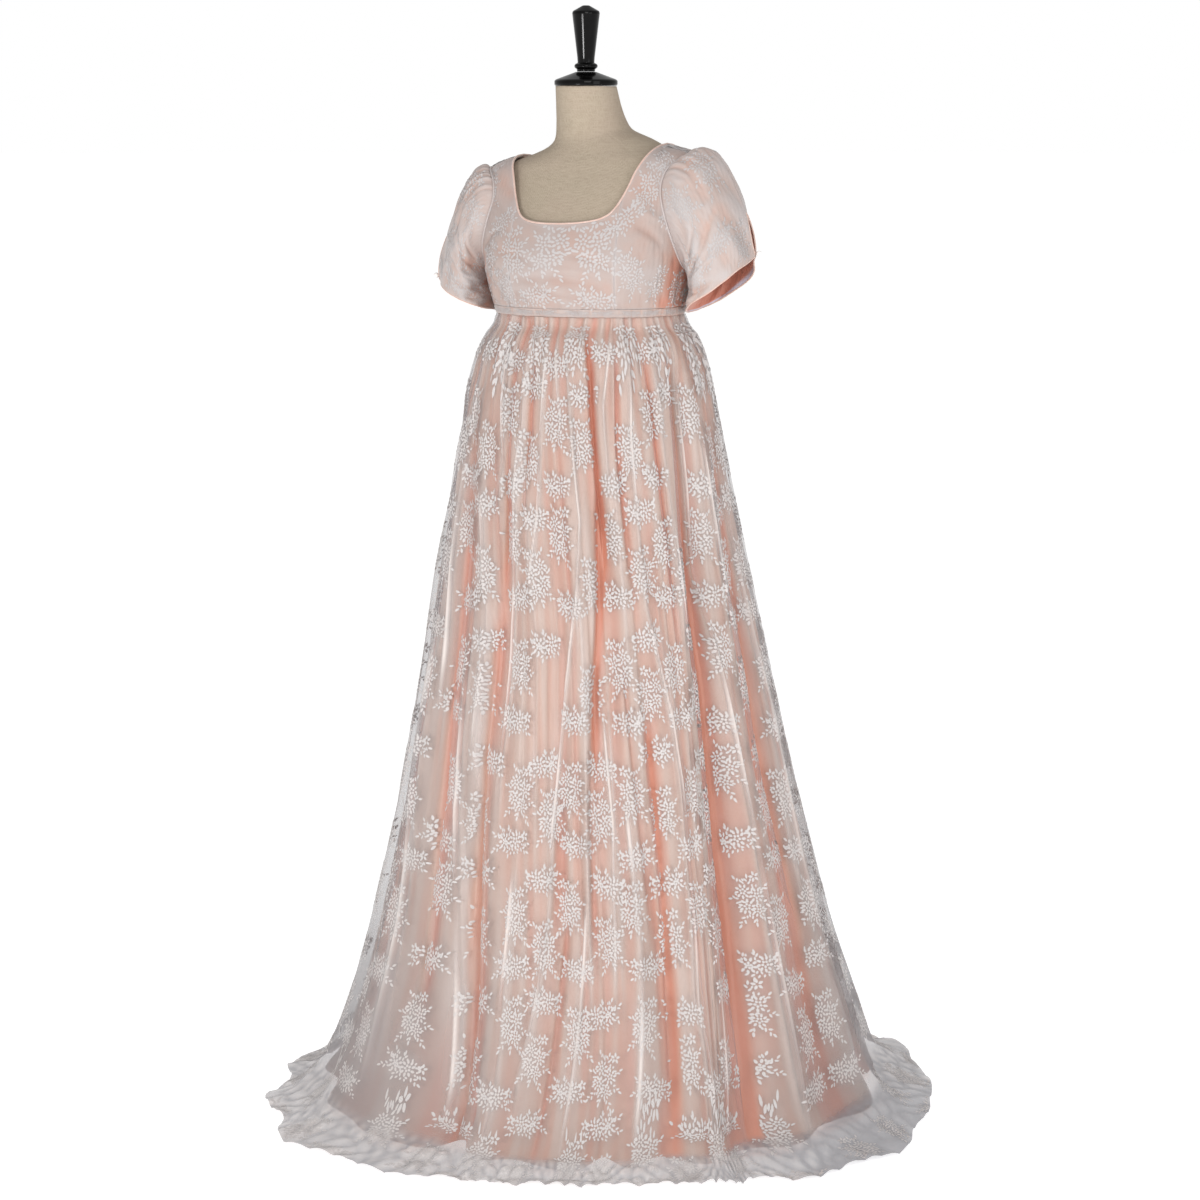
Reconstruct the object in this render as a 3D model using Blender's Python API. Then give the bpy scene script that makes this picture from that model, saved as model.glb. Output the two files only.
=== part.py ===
"""A regency gown on a limbless dress form.

Metres, +Z up. The wearer faces -Y and the wearer's left is +X. The origin is on the floor under the
middle of the stand. An angle round the body is in degrees: 0 is the front, +90 the wearer's left,
180 the back.
"""
from bisect import bisect_right
from math import acos, cos, degrees, exp, floor, pi, radians, sin

import bpy
from mathutils import Vector

for leftover in list(bpy.data.objects):
    bpy.data.objects.remove(leftover, do_unlink=True)

# ---------------------------------------------------------------- driving dimensions (metres)
SEAM_GAP = 0.0003            # between pieces that are sewn or rest together
BODICE_WALL = 0.0020         # satin and lace worked as one cloth
FORM_INSET = 0.0014          # the form inside the body that the cloth is cut for
BODICE_EASE = 0.0040         # inner face of the bodice off that body
SHOULDER_EASE = 0.0034       # added over the shoulders
BAND_WALL = 0.0024
BAND_EASE = 0.0045
SATIN_WALL = 0.0012
LACE_WALL = 0.0012
SLEEVE_WALL = 0.0014

BAND_TOP_Z = 1.1700
BAND_BOTTOM_Z = 1.1585
SKIRT_JOIN_Z = 1.1250        # above here the skirt draws in to the band
FORM_BOTTOM_Z = 0.8600
NECK_TOP_Z = 1.4810

BACK_NECKLINE_Z = 1.328      # lowest point, in the centre back
PRINCESS_HALF_ANGLE = 31.0   # the princess seam at the band

ARMHOLE_CENTRE = (0.004, 1.295)      # y and z
ARMHOLE_RADII = (0.060, 0.074)       # along y and along z

BUTTON_RADIUS = 0.0042

STAND_POLE_RADIUS = 0.0160
STAND_BASE_RADIUS = 0.1700
STAND_BASE_HEIGHT = 0.0220
NECK_Y = -0.0150             # the neck leans this far forward of the middle of the stand

# ---------------------------------------------------------------- tables
# The body: height, half width, depth in front, depth behind, middle (y)
BODY = (
    (0.860, 0.158, 0.098, 0.113, 0.010),
    (0.950, 0.166, 0.104, 0.122, 0.010),
    (1.050, 0.127, 0.088, 0.092, 0.006),
    (1.110, 0.123, 0.094, 0.086, 0.004),
    (1.160, 0.131, 0.109, 0.092, 0.004),
    (1.200, 0.141, 0.123, 0.098, 0.004),
    (1.240, 0.149, 0.130, 0.104, 0.006),
    (1.290, 0.155, 0.116, 0.108, 0.012),
    (1.335, 0.158, 0.094, 0.104, 0.017),
    (1.360, 0.154, 0.080, 0.092, 0.020),
    (1.376, 0.141, 0.072, 0.080, 0.021),
    (1.387, 0.109, 0.066, 0.070, 0.020),
    (1.396, 0.088, 0.061, 0.065, 0.019),
    (1.405, 0.067, 0.056, 0.060, 0.017),
    (1.413, 0.056, 0.053, 0.055, 0.014),
    (1.430, 0.0505, 0.050, 0.050, 0.006),
    (1.450, 0.0475, 0.047, 0.047, -0.003),
    (1.481, 0.044, 0.044, 0.044, -0.015),
)
BODY_SQUARENESS = 2.2        # exponent of the superellipse
# Rise across the shoulders at each height: the wearer's right one is a little low
TILT = (
    (1.240, 0.000),
    (1.290, 0.038),
    (1.340, 0.075),
    (1.385, 0.075),
    (1.407, 0.155),
    (1.430, 0.085),
    (1.455, 0.000),
    (1.466, 0.000),
    (1.481, 0.000),
)

# The front neckline from the centre (share 0) to the shoulder seam (share 1): share, half width, height
NECKLINE = (
    (0.00, 0.0000, 1.2868),
    (0.12, 0.0270, 1.2878),
    (0.25, 0.0510, 1.2915),
    (0.33, 0.0650, 1.2980),
    (0.40, 0.0735, 1.3085),
    (0.55, 0.0830, 1.3290),
    (0.72, 0.0905, 1.3510),
    (0.87, 0.0985, 1.3700),
    (1.00, 0.1090, 1.3870),
)
NECKLINE_AT_SEAM = 0.46      # the share where the princess seam meets it

# The skirt without its folds, down to the floor: height, half width, half depth, middle (y)
SKIRT = (
    (1.1582, 0.1400, 0.1165, 0.003),
    (1.1400, 0.1460, 0.1235, 0.004),
    (1.0900, 0.1680, 0.1450, 0.004),
    (1.0030, 0.1910, 0.1730, 0.006),
    (0.8700, 0.2180, 0.2070, 0.014),
    (0.7000, 0.2530, 0.2460, 0.024),
    (0.4500, 0.3040, 0.3010, 0.045),
    (0.2500, 0.3520, 0.3510, 0.059),
    (0.1200, 0.3910, 0.4010, 0.062),
    (0.0400, 0.4210, 0.4430, 0.051),
    (0.0125, 0.4420, 0.4670, 0.040),
)
# The lace lies out on the floor to here: angle, distance from the middle of the stand
LACE_ON_FLOOR = (
    (-180, 0.535), (-140, 0.510), (-105, 0.470), (-75, 0.463), (-56, 0.476), (-40, 0.497),
    (-19, 0.495), (5, 0.472), (28, 0.464), (48, 0.500), (66, 0.533), (83, 0.522), (99, 0.505),
    (116, 0.512), (138, 0.516), (160, 0.530), (180, 0.535),
)
LACE_FLOOR_Z = 0.0018
SATIN_HEM_Z = 0.0090

# Room between the satin and the lace over it: height, distance
SATIN_INSET = (
    (0.009, 0.0200),
    (0.060, 0.0190),
    (0.200, 0.0160),
    (0.500, 0.0110),
    (0.900, 0.0068),
    (1.100, 0.0042),
    (1.158, 0.0032),
)

# How the grain of the cloth drifts round as it hangs: angle at the band, half way down, at the floor
DRIFT = (
    (-155, -155, -155),
    (-107, -101, -97),
    (-67, -55, -49),
    (-30, -10, -5),
    (18, 24, 26),
    (39, 41, 41),
    (66, 60, 51),
    (111, 105, 101),
    (155, 155, 155),
)
DRIFT_MIDDLE_Z = 0.65

# The deepest folds: angle at the band, half width in degrees, depth, height where it starts,
# height where it ends (below 0: runs out through the hem)
FOLDS = (
    (-172, 8, 0.024, 1.10, -1.0),
    (-150, 8, 0.020, 1.12, -1.0),
    (-124, 9, 0.028, 1.08, -1.0),
    (-98, 8, 0.018, 1.12, -1.0),
    (-74, 7, 0.016, 1.05, -1.0),
    (-50, 6, 0.010, 1.12, 0.10),
    (-30, 5, 0.012, 1.13, 0.45),
    (-38, 6, 0.022, 0.55, -1.0),
    (-6, 6, 0.010, 1.10, 0.20),
    (18, 6, 0.014, 1.13, 0.30),
    (31, 5, 0.014, 0.60, -1.0),
    (66, 7, 0.030, 1.12, -1.0),
    (90, 7, 0.018, 1.08, -1.0),
    (116, 8, 0.026, 1.12, -1.0),
    (141, 8, 0.018, 1.06, -1.0),
    (165, 8, 0.022, 1.12, -1.0),
)

# Sleeve hems, from the slit at the outer arm round by the front: share of the way round, x, y, z
HEM_LEFT = (
    (0.000, 0.251, 0.000, 1.243),
    (0.125, 0.238, -0.046, 1.225),
    (0.250, 0.206, -0.060, 1.198),
    (0.375, 0.168, -0.048, 1.176),
    (0.500, 0.149, -0.004, 1.163),
    (0.625, 0.153, 0.040, 1.165),
    (0.750, 0.179, 0.060, 1.178),
    (0.875, 0.228, 0.044, 1.209),
    (1.000, 0.251, 0.000, 1.243),
)
HEM_RIGHT = (
    (0.000, -0.236, 0.000, 1.202),
    (0.125, -0.210, -0.045, 1.190),
    (0.250, -0.181, -0.058, 1.177),
    (0.375, -0.158, -0.044, 1.167),
    (0.500, -0.149, 0.000, 1.160),
    (0.625, -0.156, 0.042, 1.158),
    (0.750, -0.188, 0.060, 1.160),
    (0.875, -0.224, 0.043, 1.182),
    (1.000, -0.236, 0.000, 1.202),
)
# How the sleeve leaves the armhole, cap to underarm: share of the half round, push out, push up,
# pull above the hem, pull outward of the hem
SLEEVE_RISE = (
    (0.00, 0.030, 0.050, 0.070, -0.006),
    (0.25, 0.040, 0.030, 0.058, 0.000),
    (0.50, 0.040, 0.002, 0.030, 0.006),
    (0.75, 0.022, -0.006, 0.018, 0.006),
    (1.00, 0.008, -0.012, 0.016, 0.004),
)
CAP_HEIGHT = {1: 1.0, -1: 0.55}       # the wearer's right sleeve, -1, is set in with a lower cap
# The slit at the outer arm: share of the sleeve's length, half gap
SLIT = (
    (0.00, SEAM_GAP / 2),
    (0.70, SEAM_GAP / 2),
    (0.84, 0.0036),
    (0.94, 0.0030),
    (1.00, 0.0008),
)

# Turned profiles, radius and height, from the bottom middle to the top middle
CAP_PROFILE = (
    (0.0440, 0.0003), (0.0450, 0.0020), (0.0450, 0.0075), (0.0425, 0.0095), (0.0140, 0.0200),
)
HANDLE_PROFILE = (
    (0.0130, 0.0203), (0.0130, 0.0235), (0.0160, 0.0255), (0.0168, 0.0282), (0.0155, 0.0308),
    (0.0118, 0.0325), (0.0124, 0.0400), (0.0196, 0.1020), (0.0188, 0.1050), (0.0045, 0.1130),
)
POLE_FOOT_Z = STAND_BASE_HEIGHT + SEAM_GAP

# ---------------------------------------------------------------- facets
BODICE_ROWS = 15
SIDE_SEAM_ROWS = 3
PRINCESS_ROWS = 8
STRAP_COLUMNS = 6
BACK_NECK_COLUMNS = 6
SKIRT_COLUMNS = 27           # for each half
SLEEVE_COLUMNS = 2 * (BODICE_ROWS - SIDE_SEAM_ROWS)      # the armhole has the same corners
SLEEVE_ROWS = 6
FORM_COLUMNS = 40
TURNED_SIDES = 24

# Colours (RGB), roughness and metallic value of each material
MATERIALS = {
    "lace_over_satin": ((0.74, 0.58, 0.52), 0.55, 0.0),
    "satin": ((0.72, 0.40, 0.33), 0.40, 0.0),
    "lace": ((0.78, 0.70, 0.68), 0.70, 0.0),
    "linen": ((0.47, 0.40, 0.31), 0.85, 0.0),
    "black_lacquer": ((0.012, 0.012, 0.014), 0.18, 0.0),
    "pearl": ((0.80, 0.76, 0.74), 0.25, 0.0),
    "stand_metal": ((0.03, 0.03, 0.03), 0.40, 1.0),
}


# ---------------------------------------------------------------- reading the tables
def smooth(rows, at):
    """The columns of a table after its first, read at a value of the first, on a smooth curve."""
    keys = [row[0] for row in rows]
    if keys[0] > keys[-1]:
        rows = rows[::-1]
        keys = keys[::-1]
    at = min(max(at, keys[0]), keys[-1])
    low = min(max(bisect_right(keys, at) - 1, 0), len(keys) - 2)
    span = keys[low + 1] - keys[low]
    share = (at - keys[low]) / span

    def slope(row, column):
        before = max(row - 1, 0)
        after = min(row + 1, len(rows) - 1)
        return (rows[after][column] - rows[before][column]) / (keys[after] - keys[before])

    values = []
    for column in range(1, len(rows[0])):
        start, end = rows[low][column], rows[low + 1][column]
        start_slope, end_slope = slope(low, column) * span, slope(low + 1, column) * span
        values.append(start * (1 + 2 * share) * (1 - share) ** 2 + start_slope * share * (1 - share) ** 2
                      + end * share ** 2 * (3 - 2 * share) + end_slope * share ** 2 * (share - 1))
    return values


def ease(value, low, high):
    """0 below low, 1 above high, with a smooth step between."""
    share = min(max((value - low) / (high - low), 0.0), 1.0)
    return share * share * (3 - 2 * share)


def wrapped(angle):
    """The angle brought to between -180 and 180 degrees."""
    return angle - 360 * floor((angle + 180) / 360)


# ---------------------------------------------------------------- the body
def signed_power(value, power):
    return abs(value) ** power * (1 if value >= 0 else -1)


def body_point(angle, z, off=0.0):
    """A point on the body at an angle and a height, moved out along the normal by off."""
    def on_skin(a, height):
        width, front, back, middle = smooth(BODY, height)
        across = signed_power(sin(radians(a)), 2 / BODY_SQUARENESS)
        ahead = signed_power(cos(radians(a)), 2 / BODY_SQUARENESS)
        tilt = smooth(TILT, height)[0]
        x = width * across
        return Vector((x, middle - (front if ahead > 0 else back) * ahead, height + tilt * x))

    here = on_skin(angle, z)
    if off == 0.0:
        return here
    turn, rise = 2.0, 0.004
    round_body = on_skin(angle + turn, z) - on_skin(angle - turn, z)
    up_body = on_skin(angle, min(z + rise, NECK_TOP_Z)) - on_skin(angle, max(z - rise, FORM_BOTTOM_Z))
    return here + round_body.cross(up_body).normalized() * off


def body_angle_from_x(x, z, front=True):
    """The angle, in front or behind, where the body's half width reaches x at this height."""
    width = smooth(BODY, z)[0]
    share = min(abs(x) / width, 1.0) ** (BODY_SQUARENESS / 2)
    angle = 90 - degrees(acos(share))
    if not front:
        angle = 180 - angle
    return angle if x >= 0 else -angle


def body_angle_from_y(y, z):
    """The angle on the wearer's left where the body's side reaches y at this height."""
    _, front, back, middle = smooth(BODY, z)
    ahead = middle - y
    depth = front if ahead > 0 else back
    share = signed_power(min(abs(ahead) / depth, 1.0), BODY_SQUARENESS / 2) * (1 if ahead > 0 else -1)
    return degrees(acos(share))


# ---------------------------------------------------------------- closed meshes
def new_object(name, vertices, faces, material, smooth_shading=True):
    mesh = bpy.data.meshes.new(name)
    mesh.from_pydata([tuple(v) for v in vertices], [], faces)
    mesh.update()
    mesh.materials.append(MATERIAL_OBJECTS[material])
    if smooth_shading:
        mesh.shade_smooth()
        mesh.set_sharp_from_angle(angle=radians(50))
    thing = bpy.data.objects.new(name, mesh)
    bpy.context.scene.collection.objects.link(thing)
    return thing


def volume_of(vertices, faces):
    total = 0.0
    for face in faces:
        for k in range(1, len(face) - 1):
            a, b, c = (vertices[face[i]] for i in (0, k, k + 1))
            total += a.cross(b).dot(c) / 6
    return total


def face_outward(vertices, faces):
    if volume_of(vertices, faces) < 0:
        faces = [tuple(reversed(face)) for face in faces]
    return faces


def split(ring, vertices):
    """A four-sided face as two triangles, along its shorter diagonal."""
    a, b, c, d = ring
    if (vertices[a] - vertices[c]).length <= (vertices[b] - vertices[d]).length:
        return [(a, b, c), (a, c, d)]
    return [(a, b, d), (b, c, d)]


def cloth_wall(name, outer, inner, material):
    """A wall between two grids of points with the same rows and columns, closed at its edges.

    Its two sides are split along the same diagonals, so that they keep clear of each other.
    """
    rows, columns = len(outer), len(outer[0])
    vertices = [p for row in outer for p in row] + [p for row in inner for p in row]
    inside = rows * columns

    def at(row, column, layer=0):
        return layer * inside + row * columns + column

    faces = []
    for i in range(rows - 1):
        for j in range(columns - 1):
            for triangle in split((at(i, j), at(i, j + 1), at(i + 1, j + 1), at(i + 1, j)), vertices):
                faces.append(triangle)
                faces.append(tuple(v + inside for v in reversed(triangle)))
    edge = [(0, j) for j in range(columns)] + [(i, columns - 1) for i in range(1, rows)]
    edge += [(rows - 1, j) for j in range(columns - 2, -1, -1)] + [(i, 0) for i in range(rows - 2, 0, -1)]
    for here, after in zip(edge, edge[1:] + edge[:1]):
        faces.append((at(*after), at(*here), at(*here, 1), at(*after, 1)))
    return new_object(name, vertices, face_outward(vertices, faces), material)


def drawn_in(grid, gap):
    """The grid with its four edges drawn in by gap, so that it clears the piece it is sewn to."""
    rows, columns = len(grid), len(grid[0])
    result = [list(row) for row in grid]
    for j in range(columns):
        for edge, inner in ((0, 1), (rows - 1, rows - 2)):
            step = grid[inner][j] - grid[edge][j]
            result[edge][j] = result[edge][j] + step.normalized() * gap
    for i in range(rows):
        for edge, inner in ((0, 1), (columns - 1, columns - 2)):
            step = grid[i][inner] - grid[i][edge]
            result[i][edge] = result[i][edge] + step.normalized() * gap
    return result


def turned(name, profile, centre, material, sides=TURNED_SIDES):
    """A solid of revolution about a vertical axis, from (radius, height) pairs, bottom to top."""
    x, y, z = centre
    vertices = []
    for radius, height in profile:
        for k in range(sides):
            turn = 2 * pi * k / sides
            vertices.append(Vector((x + radius * cos(turn), y + radius * sin(turn), z + height)))
    faces = [tuple(reversed(range(sides)))]
    for i in range(len(profile) - 1):
        for k in range(sides):
            after = (k + 1) % sides
            faces.append((i * sides + k, i * sides + after, (i + 1) * sides + after, (i + 1) * sides + k))
    last = (len(profile) - 1) * sides
    faces.append(tuple(range(last, last + sides)))
    return new_object(name, vertices, face_outward(vertices, faces), material)


def moved_in(grid, distance, meets=False):
    """The grid moved by distance against the normal that rows going down and columns going round give.

    Where its first and last columns meet, both take the same direction.
    """
    rows, columns = len(grid), len(grid[0])
    result = []
    for i in range(rows):
        moved = []
        for j in range(columns):
            down = grid[min(i + 1, rows - 1)][j] - grid[max(i - 1, 0)][j]
            around = grid[i][min(j + 1, columns - 1)] - grid[i][max(j - 1, 0)]
            if meets and j in (0, columns - 1):
                down = grid[min(i + 1, rows - 1)][0] - grid[max(i - 1, 0)][0]
                around = grid[i][1] - grid[i][-2]
            moved.append(grid[i][j] - down.cross(around).normalized() * distance)
        result.append(moved)
    return result


# ---------------------------------------------------------------- bodice
def armhole(share):
    """Angle and height on the wearer's left armhole: share 0 at the shoulder, 0.25 in front, 0.5 underarm."""
    turn = 2 * pi * share
    y = ARMHOLE_CENTRE[0] - ARMHOLE_RADII[0] * sin(turn)
    z = ARMHOLE_CENTRE[1] + ARMHOLE_RADII[1] * cos(turn)
    return body_angle_from_y(y, z), z


def line(start, end, steps):
    return [tuple(a + (b - a) * k / steps for a, b in zip(start, end)) for k in range(steps + 1)]


def front_neckline(share):
    """Angle and height on the front neckline: share 0 at the centre front, -1 and 1 at the shoulder seams."""
    x, z = smooth(NECKLINE, abs(share))
    angle = 90.0 if abs(share) == 1.0 else body_angle_from_x(x, z)
    return (angle if share >= 0 else -angle), z


def back_neckline(steps):
    """The back neckline from the centre back to the shoulder seam, on the wearer's left."""
    _, half_width, top_z = NECKLINE[-1]
    points = []
    for k in range(steps + 1):
        turn = pi / 2 * k / steps
        z = BACK_NECKLINE_Z + (top_z - BACK_NECKLINE_Z) * (1 - cos(turn))
        x = half_width * sin(turn)
        points.append((body_angle_from_x(x, z, front=False), z))
    points[-1] = (90.0, top_z)
    return points


def coons(bottom, top, left, right):
    """(angle, height) points filling four edges; left and right run bottom to top."""
    rows, columns = len(left), len(bottom)
    grid = []
    for i in range(rows):
        s = i / (rows - 1)
        row = []
        for j in range(columns):
            t = j / (columns - 1)
            row.append(tuple(
                (1 - s) * bottom[j][k] + s * top[j][k] + (1 - t) * left[i][k] + t * right[i][k]
                - ((1 - s) * (1 - t) * bottom[0][k] + (1 - s) * t * bottom[-1][k]
                   + s * (1 - t) * top[0][k] + s * t * top[-1][k])
                for k in (0, 1)))
        grid.append(row)
    return grid


def shoulder_ease(z):
    return SHOULDER_EASE * ease(z, 1.32, 1.36)


def bodice_panel(name, points, side=1):
    """A bodice piece from (angle, height) points; side -1 makes the wearer's right one."""
    def layer(off):
        grid = [[body_point(side * angle, z, off + shoulder_ease(z)) for angle, z in row] for row in points]
        for point, (_, z) in zip(grid[0], points[0]):
            point.z = z
        return drawn_in(grid, SEAM_GAP / 2)

    cloth_wall(name, layer(BODICE_EASE + BODICE_WALL), layer(BODICE_EASE), "lace_over_satin")


def make_bodice():
    waist_z = BAND_TOP_Z + SEAM_GAP
    princess = line((PRINCESS_HALF_ANGLE, waist_z), front_neckline(NECKLINE_AT_SEAM), PRINCESS_ROWS)
    mirrored = [(-angle, z) for angle, z in princess]
    centre_columns = 12
    waist = line(mirrored[0], princess[0], centre_columns)
    dip = [front_neckline(NECKLINE_AT_SEAM * (2 * k / centre_columns - 1)) for k in range(centre_columns + 1)]
    bodice_panel("bodice_front", coons(waist, dip, mirrored, princess))

    rows = BODICE_ROWS
    side_seam = line((90.0, waist_z), armhole(0.5), SIDE_SEAM_ROWS)
    hole_rows = rows - SIDE_SEAM_ROWS
    round_hole = [0.5 * k / hole_rows for k in range(1, hole_rows + 1)]
    front_edge = side_seam + [armhole(0.5 - share) for share in round_hole]
    back_edge = side_seam + [armhole(0.5 + share) for share in round_hole]
    neck_rows = rows - PRINCESS_ROWS
    step = (1.0 - NECKLINE_AT_SEAM) / neck_rows
    neckline = [front_neckline(NECKLINE_AT_SEAM + step * k) for k in range(neck_rows)] + [front_neckline(1.0)]
    shoulder = line(neckline[-1], front_edge[-1], STRAP_COLUMNS)
    side_waist = line(princess[0], side_seam[0], STRAP_COLUMNS)
    side_front = coons(side_waist, shoulder, princess + neckline[1:], front_edge)

    centre_back = line((180.0, waist_z), (180.0, BACK_NECKLINE_Z), rows)
    top = back_neckline(BACK_NECK_COLUMNS) + shoulder[1:]
    back_waist = line(centre_back[0], side_seam[0], BACK_NECK_COLUMNS + STRAP_COLUMNS)
    back = coons(back_waist, top, centre_back, back_edge)
    for word, side in (("left", 1), ("right", -1)):
        bodice_panel("bodice_side_front_" + word, side_front, side)
        bodice_panel("bodice_back_" + word, back, side)


def make_waistband():
    columns = 18
    for word, middle in (("front", 0), ("back", 180)):
        rows = [BAND_BOTTOM_Z + SEAM_GAP, (BAND_BOTTOM_Z + BAND_TOP_Z) / 2, BAND_TOP_Z]
        angles = [middle - 90 + 180 * k / columns for k in range(columns + 1)]

        def layer(off):
            grid = [[body_point(a, z, off) for a in angles] for z in rows]
            for row, z in zip(grid, rows):
                for point in row:
                    point.z = z
            return drawn_in(grid, SEAM_GAP / 2)

        cloth_wall("waistband_" + word, layer(BAND_EASE + BAND_WALL), layer(BAND_EASE), "lace_over_satin")


# ---------------------------------------------------------------- skirts
def drifted(angle, z):
    """Where the thread that leaves the band at this angle hangs at this height."""
    turns = [tuple(value - 360 for value in row) for row in DRIFT[-2:]]
    turns += list(DRIFT) + [tuple(value + 360 for value in row) for row in DRIFT[:2]]
    rows = [(top, middle - top, bottom - top) for top, middle, bottom in turns]
    to_middle, to_bottom = smooth(rows, wrapped(angle))
    top_share = ease(z, DRIFT_MIDDLE_Z, BAND_BOTTOM_Z)
    if z >= DRIFT_MIDDLE_Z:
        return angle + to_middle * (1 - top_share)
    down = 1 - max(z, 0.0) / DRIFT_MIDDLE_Z
    return angle + to_middle + (to_bottom - to_middle) * down


def fold_depth(angle, z):
    """How far the folds carry the cloth in from the skirt's outline, for a thread and a height."""
    total = 0.0
    for middle, half_width, depth, start, end in FOLDS:
        away = wrapped(angle - middle) / half_width
        grown = 1 - ease(z, start - 0.45, start)
        kept = ease(z, end, end + 0.20) if end > 0 else 1.0
        begun = ease(start - z, 0, 0.06)
        total += depth * exp(-away * away) * (0.35 + 0.65 * grown) * kept * begun
    return total * ease(z, 0.0, 0.012)


def skirt_point(angle, z, inset=0.0):
    """A point of the skirt at a thread's angle and a height, moved in toward the middle by inset."""
    width, depth, middle = smooth(SKIRT, z)
    turn = radians(drifted(angle, z))
    inward = fold_depth(angle, z) + inset
    hanging = Vector(((width - inward) * sin(turn), middle - (depth - inward) * cos(turn), z))
    at_band = body_point(angle, z, BAND_EASE + BAND_WALL - inset)
    at_band.z = z
    return hanging.lerp(at_band, ease(z, SKIRT_JOIN_Z, BAND_BOTTOM_Z))


def floor_point(angle):
    """Where the thread that leaves the band at this angle ends, on the floor."""
    end = wrapped(drifted(angle, 0.0))
    reach = smooth(LACE_ON_FLOOR, end)[0]
    return Vector((reach * sin(radians(end)), -reach * cos(radians(end)), LACE_FLOOR_Z))


def skirt_layers(wide, thickness):
    """Outer and inner grids of a skirt half, from outer points with a spare column at each side.

    The spare columns give the two halves the same wall direction along the side seams.
    """
    inner = moved_in(wide, thickness)
    return [drawn_in([row[1:-1] for row in grid], SEAM_GAP / 2) for grid in (wide, inner)]


def make_skirts():
    heights = [row[0] for row in SKIRT]
    satin_heights = heights[:-1] + [SATIN_HEM_Z]
    for word, middle in (("front", 0), ("back", 180)):
        angles = [middle - 90 + 180 * k / SKIRT_COLUMNS for k in range(-1, SKIRT_COLUMNS + 2)]
        lace = [[skirt_point(a, z) for a in angles] for z in heights]
        lace.append([floor_point(a) for a in angles])
        cloth_wall("lace_skirt_" + word, *skirt_layers(lace, LACE_WALL), "lace")
        satin = [[skirt_point(a, z, smooth(SATIN_INSET, z)[0]) for a in angles] for z in satin_heights]
        cloth_wall("satin_skirt_" + word, *skirt_layers(satin, SATIN_WALL), "satin")


# ---------------------------------------------------------------- sleeves
def sleeve_grid(side, hem):
    """Points of a sleeve, a row for each step from armhole to hem, from slit edge to slit edge."""
    lift = BODICE_EASE + BODICE_WALL + SEAM_GAP
    shares = [j / SLEEVE_COLUMNS for j in range(SLEEVE_COLUMNS + 1)]
    edge = []
    for share in shares:
        angle, z = armhole(share)
        edge.append(body_point(side * angle, z, lift + shoulder_ease(z)))
    middle = sum(edge[:-1], Vector()) / SLEEVE_COLUMNS
    inside = 1 - 2 * SEAM_GAP / ARMHOLE_RADII[0]
    grid = []
    for i in range(SLEEVE_ROWS + 1):
        along = i / SLEEVE_ROWS
        half_gap = max(smooth(SLIT, along)[0], SEAM_GAP / 2)
        row = []
        for j, share in enumerate(shares):
            start = middle + (edge[j] - middle) * inside
            start.x = edge[j].x
            end = Vector(smooth(hem, share))
            push_out, push_up, pull_up, pull_out = smooth(SLEEVE_RISE, 1 - abs(1 - 2 * share))
            push_up *= CAP_HEIGHT[side]
            fore = start + Vector((side * push_out, 0.35 * (start.y - middle.y), push_up))
            aft = end + Vector((side * pull_out, 0.15 * end.y, pull_up))
            point = (start * (1 - along) ** 3 + fore * (3 * along * (1 - along) ** 2)
                     + aft * (3 * along ** 2 * (1 - along)) + end * along ** 3)
            point.y -= ((j == 0) - (j == SLEEVE_COLUMNS)) * half_gap
            row.append(point)
        grid.append(row)
    return grid


def make_sleeves():
    for word, side, hem in (("left", 1, HEM_LEFT), ("right", -1, HEM_RIGHT)):
        outer = sleeve_grid(side, hem)
        inner = moved_in(outer, -side * SLEEVE_WALL, meets=True)
        cloth_wall("sleeve_" + word, outer, inner, "lace_over_satin")
        corner = Vector(hem[0][1:])
        clear = BUTTON_RADIUS + 2 * SEAM_GAP
        centre = corner + Vector((side * clear, 0, 0.0045))
        profile = [(max(BUTTON_RADIUS * sin(pi * k / 8), 0.0003), -BUTTON_RADIUS * cos(pi * k / 8))
                   for k in range(9)]
        turned("button_" + word, profile, centre, "pearl", sides=12)


# ---------------------------------------------------------------- dress form and stand
def make_form():
    heights = [row[0] for row in BODY]
    finer = []
    for low, high in zip(heights, heights[1:]):
        finer.append(low)
        if high - low > 0.015 and low > 1.10:
            finer.append((low + high) / 2)
    finer.append(heights[-1])
    vertices = []
    for z in finer:
        for k in range(FORM_COLUMNS):
            point = body_point(360 * k / FORM_COLUMNS, z, -FORM_INSET)
            point.z = min(point.z, NECK_TOP_Z)
            vertices.append(point)
    sides = FORM_COLUMNS
    faces = [tuple(range(sides))]
    for i in range(len(finer) - 1):
        for k in range(sides):
            after = (k + 1) % sides
            faces.append((i * sides + k, (i + 1) * sides + k, (i + 1) * sides + after, i * sides + after))
    last = (len(finer) - 1) * sides
    faces.append(tuple(reversed(range(last, last + sides))))
    new_object("form_torso", vertices, face_outward(vertices, faces), "linen")

    turned("neck_cap", CAP_PROFILE, (0, NECK_Y, NECK_TOP_Z), "black_lacquer")
    turned("cap_handle", HANDLE_PROFILE, (0, NECK_Y, NECK_TOP_Z), "black_lacquer")
    pole = ((STAND_POLE_RADIUS, POLE_FOOT_Z), (STAND_POLE_RADIUS, FORM_BOTTOM_Z - SEAM_GAP))
    turned("stand_pole", pole, (0, 0, 0), "stand_metal")
    base = ((STAND_BASE_RADIUS, 0.0), (STAND_BASE_RADIUS, 0.006), (STAND_BASE_RADIUS - 0.006, 0.010),
            (0.040, STAND_BASE_HEIGHT))
    turned("stand_base", base, (0, 0, 0), "stand_metal")


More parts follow.
